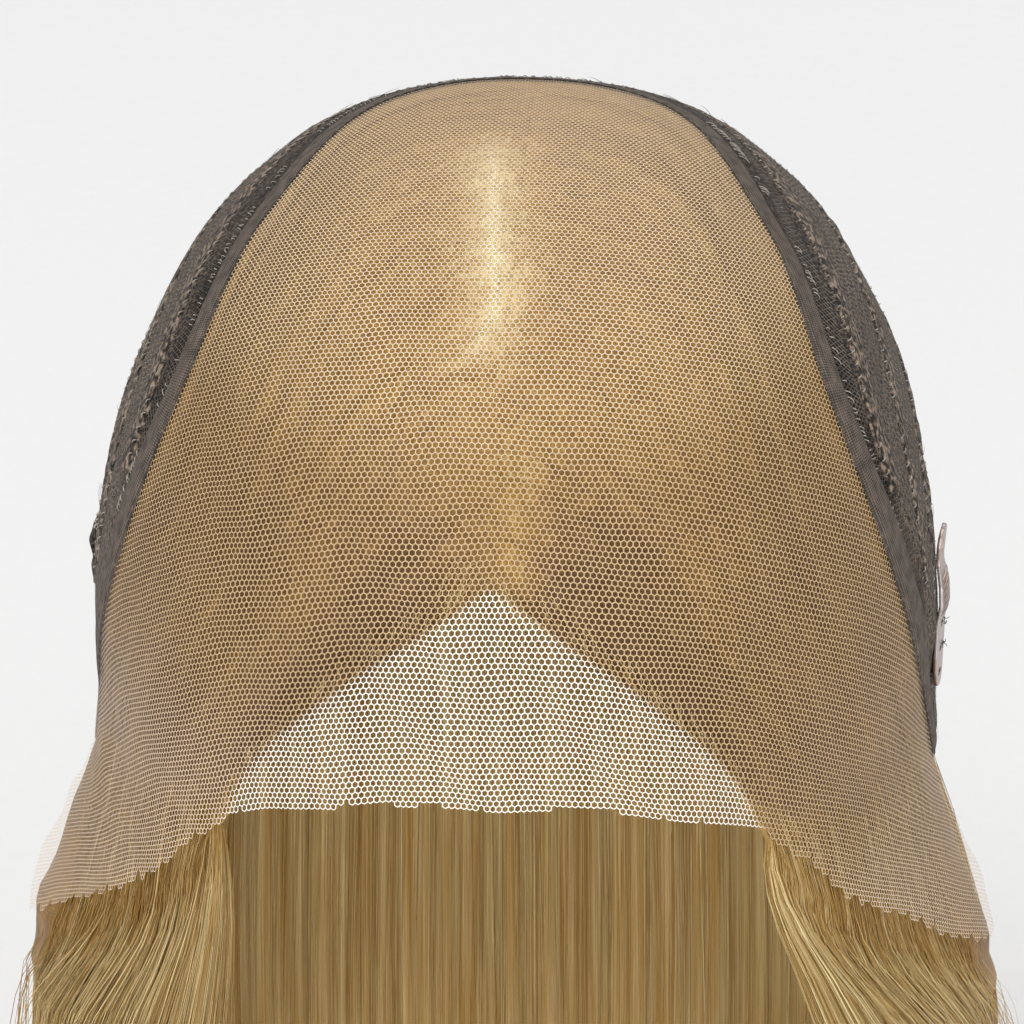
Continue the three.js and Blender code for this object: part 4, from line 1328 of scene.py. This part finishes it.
class WIG_OT_hair_strands(bpy.types.Operator):
    """Lay single strands over and inside the combed hair, under the lace and along the hairline"""

    bl_idname = "wig.hair_strands"
    bl_label = "Hair strands"

    def execute(self, context):
        sizes, colours = context.scene.wig_sizes, context.scene.wig_colours
        hair = human_hair(colours, "Human hair strands", relief=False)
        width = sizes.strand / MM / 2
        for name, way, seed in (("left", -1, 101), ("right", 1, 102)):
            draw = np.random.default_rng(seed)
            for kind, lay, count, share in (
                ("_strands", self.hanging_side, sizes.side_strands, 1.0),
                ("_roots", self.under_lace, ROOT_STRANDS, 0.8),
                ("_fringe", self.hairline_fringe, FRINGE_STRANDS, 0.5),
            ):
                laid = lay(draw, count, way)
                self.add_strands("hair_" + name, kind, laid, width * share, draw, hair)
        draw = np.random.default_rng(103)
        laid = self.hanging_back(draw, sizes.back_strands)
        half = sizes.back_strands // 2
        for kind, part in (("_outer", slice(0, half)), ("_inner", slice(half, None))):
            self.add_strands("hair_back", kind, [rows[part] for rows in laid], width * 1.1, draw, hair)
        return {"FINISHED"}

    def add_strands(self, node, kind, laid, width, draw, hair):
        """One piece of tapering strands, each with its own width and its own place in the streaks."""
        sides = 3
        paths, out, tint = laid
        count, stations = paths.shape[:2]
        share = np.linspace(0, 1, stations)
        radii = width * draw.uniform(0.6, 1.25, (count, 1)) * (1 - 0.75 * ease(0.72, 1, share))
        points, faces = tubes(paths, radii, out, sides)
        run = lengths_of(paths)
        strand = np.stack(np.broadcast_arrays(draw.uniform(0, 4000, (count, 1)), run, 7.0), -1)
        tint = np.broadcast_to(tint.reshape(count, -1), (count, stations)).ravel()
        piece_from(node + kind, points, faces, hair, "hair", [node], tint=np.repeat(tint, sides),
                   strand=np.repeat(strand.reshape(-1, 3), sides, axis=0))

    def hanging_side(self, draw, count, way):
        """Strands that leave an ear tab and hang in clumps, some inside and some loose."""
        each = (count, 1)
        inner = draw.random(each) < 0.3
        share = draw.random(each)
        share = np.where(draw.random(each) < 0.05, 0.03 * draw.random(each) - 0.012, share)
        clumps = 26
        centre = (np.floor(share * clumps) + 0.5) / clumps
        hang = np.concatenate([np.zeros(3), [0.03, 0.07, 0.12, 0.18, 0.26, 0.38, 0.55, 0.77, 1.0]])[None, :]
        gathered = mix(share, centre + (share - centre) * 0.5, hang**1.5)
        start = 1 - draw.uniform(0.05, 0.34, each)
        along = mix(start, 1.0, np.concatenate([np.linspace(0, 1, 3), np.ones(9)])[None, :])
        end = self.ends(draw, each, SIDE_STRAND_ENDS, ripple(60 * centre, 8))
        skin = np.interp(hang, [0, 0.1, 0.3, 0.8, 1], [0.1, 0.45, 1, 0.9, 0.55])
        deep = np.where(inner, draw.uniform(9.4, 12.6, each), draw.uniform(2.9, 7.6, each))
        stray = draw.random(each) < 0.03
        deep = np.where(stray, draw.uniform(-3, 1.5, each), deep)
        depth = -mix(1.9 + 1.2 * draw.random(each), deep, skin)
        loose = draw.random(each) < 0.3
        aside = draw.normal(0, np.where(loose, 3.0, 0.7)) * (1 - 0.65 * ease(0.88, 0.98, share))
        sway = hang * (0.5 * np.sin(5 * hang + draw.uniform(0, 6.28, each))) + hang**0.7 * aside
        gathered, along, hang, depth = np.broadcast_arrays(gathered, along, hang, depth)
        paths, out = side_hair(way, gathered, along, hang, depth, end, sway)
        tone = 0.7 + 0.1 * ripple(70 * centre, 9) + draw.normal(0, 0.12, each)
        tone = tone + 0.1 * loose - 0.06 * inner
        # Painted shade: darker where the strands still lie under the tab
        return paths, out, tone - 0.2 * (1 - ease(0, 0.08, hang))

    def under_lace(self, draw, count, way):
        """Strands that lie close under the lace, many of them along the hairline."""
        each = (count, 1)
        share = draw.random(each) ** 1.3
        low = draw.uniform(0.004, 0.55, each) ** 1.4
        high = np.minimum(low + draw.uniform(0.25, 0.6, each), 1)
        share = np.where(draw.random(each) < 0.22, -0.004 + 0.02 * draw.random(each), share)
        steps = np.linspace(0, 1, 10)[None, :]
        along = mix(low, high, steps)
        drift = draw.normal(0, 0.03, each) * steps + 0.004 * np.sin(6 * steps + 9 * share)
        depth = -np.broadcast_to(draw.uniform(0.75, 1.2, each), along.shape)
        paths, out = side_hair(way, share + drift, along, np.zeros_like(along), depth)
        return paths, out, lining_tint(paths, share, along) + draw.normal(0.03, 0.08, each)

    def hairline_fringe(self, draw, count, way):
        """Fine pale hairs knotted along the hairline, leaning a little over it."""
        each = (count, 1)
        low = draw.uniform(0, 0.92, each) ** 1.2
        steps = np.linspace(0, 1, 5)[None, :]
        along = np.minimum(low + draw.uniform(0.02, 0.07, each) * steps, 1)
        share = draw.uniform(0.0, 0.06, each) - steps * draw.uniform(0.01, 0.05, each)
        share = np.maximum(share, -0.012) - hairline_shift(way, along)
        paths, out = side_hair(way, share, along, np.zeros_like(along), np.full(along.shape, -0.6))
        return paths, out, draw.normal(0.7, 0.14, count)

    def hanging_back(self, draw, count):
        """Strands that hang from under the nape edge, the second half of them inside the combed hair."""
        each = (count, 1)
        turn = draw.uniform(95.5, 264.5, each)
        clump = 3.4
        centre = (np.floor(turn / clump) + 0.5) * clump
        hang = np.array([0, 0.07, 0.15, 0.25, 0.37, 0.5, 0.64, 0.8, 1.0])[None, :]
        gathered = mix(turn, centre + (turn - centre) * 0.5, hang**1.5)
        gathered = gathered + hang * (0.4 * np.sin(5 * hang + 7 * turn) + draw.normal(0, 0.6, each))
        start = drop_on(NAPE, 180 - np.abs(turn - 180)) - draw.uniform(1, 14, each)
        inner = np.arange(count)[:, None] >= count // 2
        start = np.where(inner, start - draw.uniform(0, 60, each), start)
        end = self.ends(draw, each, BACK_STRAND_ENDS, ripple(centre, 12))
        skin = np.interp(hang, [0, 0.1, 0.3, 0.8, 1], [0.0, 0.45, 1, 0.9, 0.55])
        deep = np.where(inner, draw.uniform(9.6, 13.0, each), draw.uniform(3.0, 7.4, each))
        depth = -mix(np.where(inner, 5.0, 2.2), deep, skin)
        points = point_at(gathered, start + (end - start) * hang)
        out = normal_at(points)
        tone = 0.66 + 0.1 * ripple(1.3 * centre, 13) + draw.normal(0, 0.12, each) + 0.08 * inner
        return points + out * depth[..., None], out, tone

    def ends(self, draw, each, limits, wave):
        """Drops of the strands' uneven ends."""
        middle, spread, least, most = limits
        return np.minimum(np.clip(draw.normal(middle, spread, each), least, most) + 5 * wave, LONGEST)


# Stage: lamps by name, place, size and power, and the camera

LAMPS = (
    ("key", (-0.8, -0.8, 2.2), 1.6, 32),
    ("fill", (1.3, -1.2, 1.3), 1.6, 6),
    ("back", (0.4, 1.7, 1.6), 1.8, 12),
    ("table bounce", (0.05, -0.95, -0.02), 0.5, 4.0),
)
LAMPS_AIM = (0, 0, -0.12)
CAMERA_AZIMUTH, CAMERA_ELEVATION, CAMERA_DISTANCE = 3, 30, 0.95
CAMERA_UP, CAMERA_RIGHT = 0.0079, -0.0008
CAMERA_SENSOR, CAMERA_LENS = 36, 173.7
FLOOR_BELOW = 0.003


class WIG_OT_stage(bpy.types.Operator):
    """Set the pale floor, the soft studio light and the camera"""

    bl_idname = "wig.stage"
    bl_label = "Stage"

    def execute(self, context):
        scene, colours = context.scene, context.scene.wig_colours
        turn = np.linspace(0, 2 * np.pi, 97)[:-1]
        rings = np.array([0.5, 2.0, 6.0, 20.0])
        level = CAD_BOX[0][2] - FLOOR_BELOW
        spots = np.stack(np.broadcast_arrays(
            rings[:, None] * np.cos(turn), rings[:, None] * np.sin(turn), level), -1).reshape(-1, 3)
        faces = [*grid_faces(len(rings), len(turn), wrap=True), np.arange(len(turn))]
        mesh = bpy.data.meshes.new("floor")
        mesh.from_pydata(spots.tolist(), [], [f.tolist() for f in faces])
        mesh.materials.append(paper_floor(colours))
        floor = bpy.data.objects.new("floor", mesh)
        scene.collection.objects.link(floor)
        world = bpy.data.worlds.new("Pale studio")
        world.use_nodes = True
        background = world.node_tree.nodes["Background"]
        background.inputs["Color"].default_value = (*linear("#f2f2f2"), 1.0)
        background.inputs["Strength"].default_value = 0.66
        scene.world = world
        for name, place, size, power in LAMPS:
            lamp = bpy.data.lights.new(name, "AREA")
            lamp.energy, lamp.size = power, size
            holder = bpy.data.objects.new(name, lamp)
            holder.location = place
            holder.visible_camera = False
            aim = Vector(LAMPS_AIM) - Vector(place)
            holder.rotation_euler = aim.to_track_quat("-Z", "Y").to_euler()
            scene.collection.objects.link(holder)
        azimuth, elevation = math.radians(CAMERA_AZIMUTH), math.radians(CAMERA_ELEVATION)
        ahead = math.cos(elevation)
        back = Vector((math.sin(azimuth) * ahead, -math.cos(azimuth) * ahead, math.sin(elevation)))
        right = Vector((math.cos(azimuth), math.sin(azimuth), 0))
        aim = Vector(CENTRE * MM) + back.cross(right) * CAMERA_UP + right * CAMERA_RIGHT
        lens = bpy.data.cameras.new("camera")
        lens.sensor_width, lens.lens = CAMERA_SENSOR, CAMERA_LENS
        lens.clip_start, lens.clip_end = 0.01, 60
        camera = bpy.data.objects.new("camera", lens)
        camera.location = aim + back * CAMERA_DISTANCE
        camera.rotation_euler = back.to_track_quat("Z", "Y").to_euler()
        scene.collection.objects.link(camera)
        scene.camera = camera
        scene.view_settings.view_transform = "Standard"
        return {"FINISHED"}


STEPS = (
    WIG_OT_lace_front,
    WIG_OT_back_cap,
    WIG_OT_seam_tape,
    WIG_OT_weft_tracks,
    WIG_OT_edge_tab,
    WIG_OT_side_clip,
    WIG_OT_combed_hair,
    WIG_OT_hair_strands,
    WIG_OT_stage,
)


class WIG_PT_wig(bpy.types.Panel):
    """Sizes, colours and steps of the wig"""

    bl_idname = "WIG_PT_wig"
    bl_label = "Inside-out lace wig"
    bl_space_type = "VIEW_3D"
    bl_region_type = "UI"
    bl_category = "Wig"

    def draw(self, context):
        for group in (context.scene.wig_sizes, context.scene.wig_colours):
            box = self.layout.box()
            for name in group.__annotations__:
                box.prop(group, name)
        for step in STEPS:
            self.layout.operator(step.bl_idname)


CLASSES = (WigSizes, WigColours, *STEPS, WIG_PT_wig)


def register():
    for kind in CLASSES:
        bpy.utils.register_class(kind)
    bpy.types.Scene.wig_sizes = bpy.props.PointerProperty(type=WigSizes)
    bpy.types.Scene.wig_colours = bpy.props.PointerProperty(type=WigColours)


def unregister():
    del bpy.types.Scene.wig_colours
    del bpy.types.Scene.wig_sizes
    for kind in reversed(CLASSES):
        bpy.utils.unregister_class(kind)


def main():
    register()
    bpy.ops.wig.lace_front()
    bpy.ops.wig.back_cap()
    bpy.ops.wig.seam_tape()
    bpy.ops.wig.weft_tracks()
    bpy.ops.wig.edge_tab()
    bpy.ops.wig.side_clip()
    bpy.ops.wig.combed_hair()
    bpy.ops.wig.hair_strands()
    bpy.ops.wig.stage()


if __name__ == "__main__":
    main()
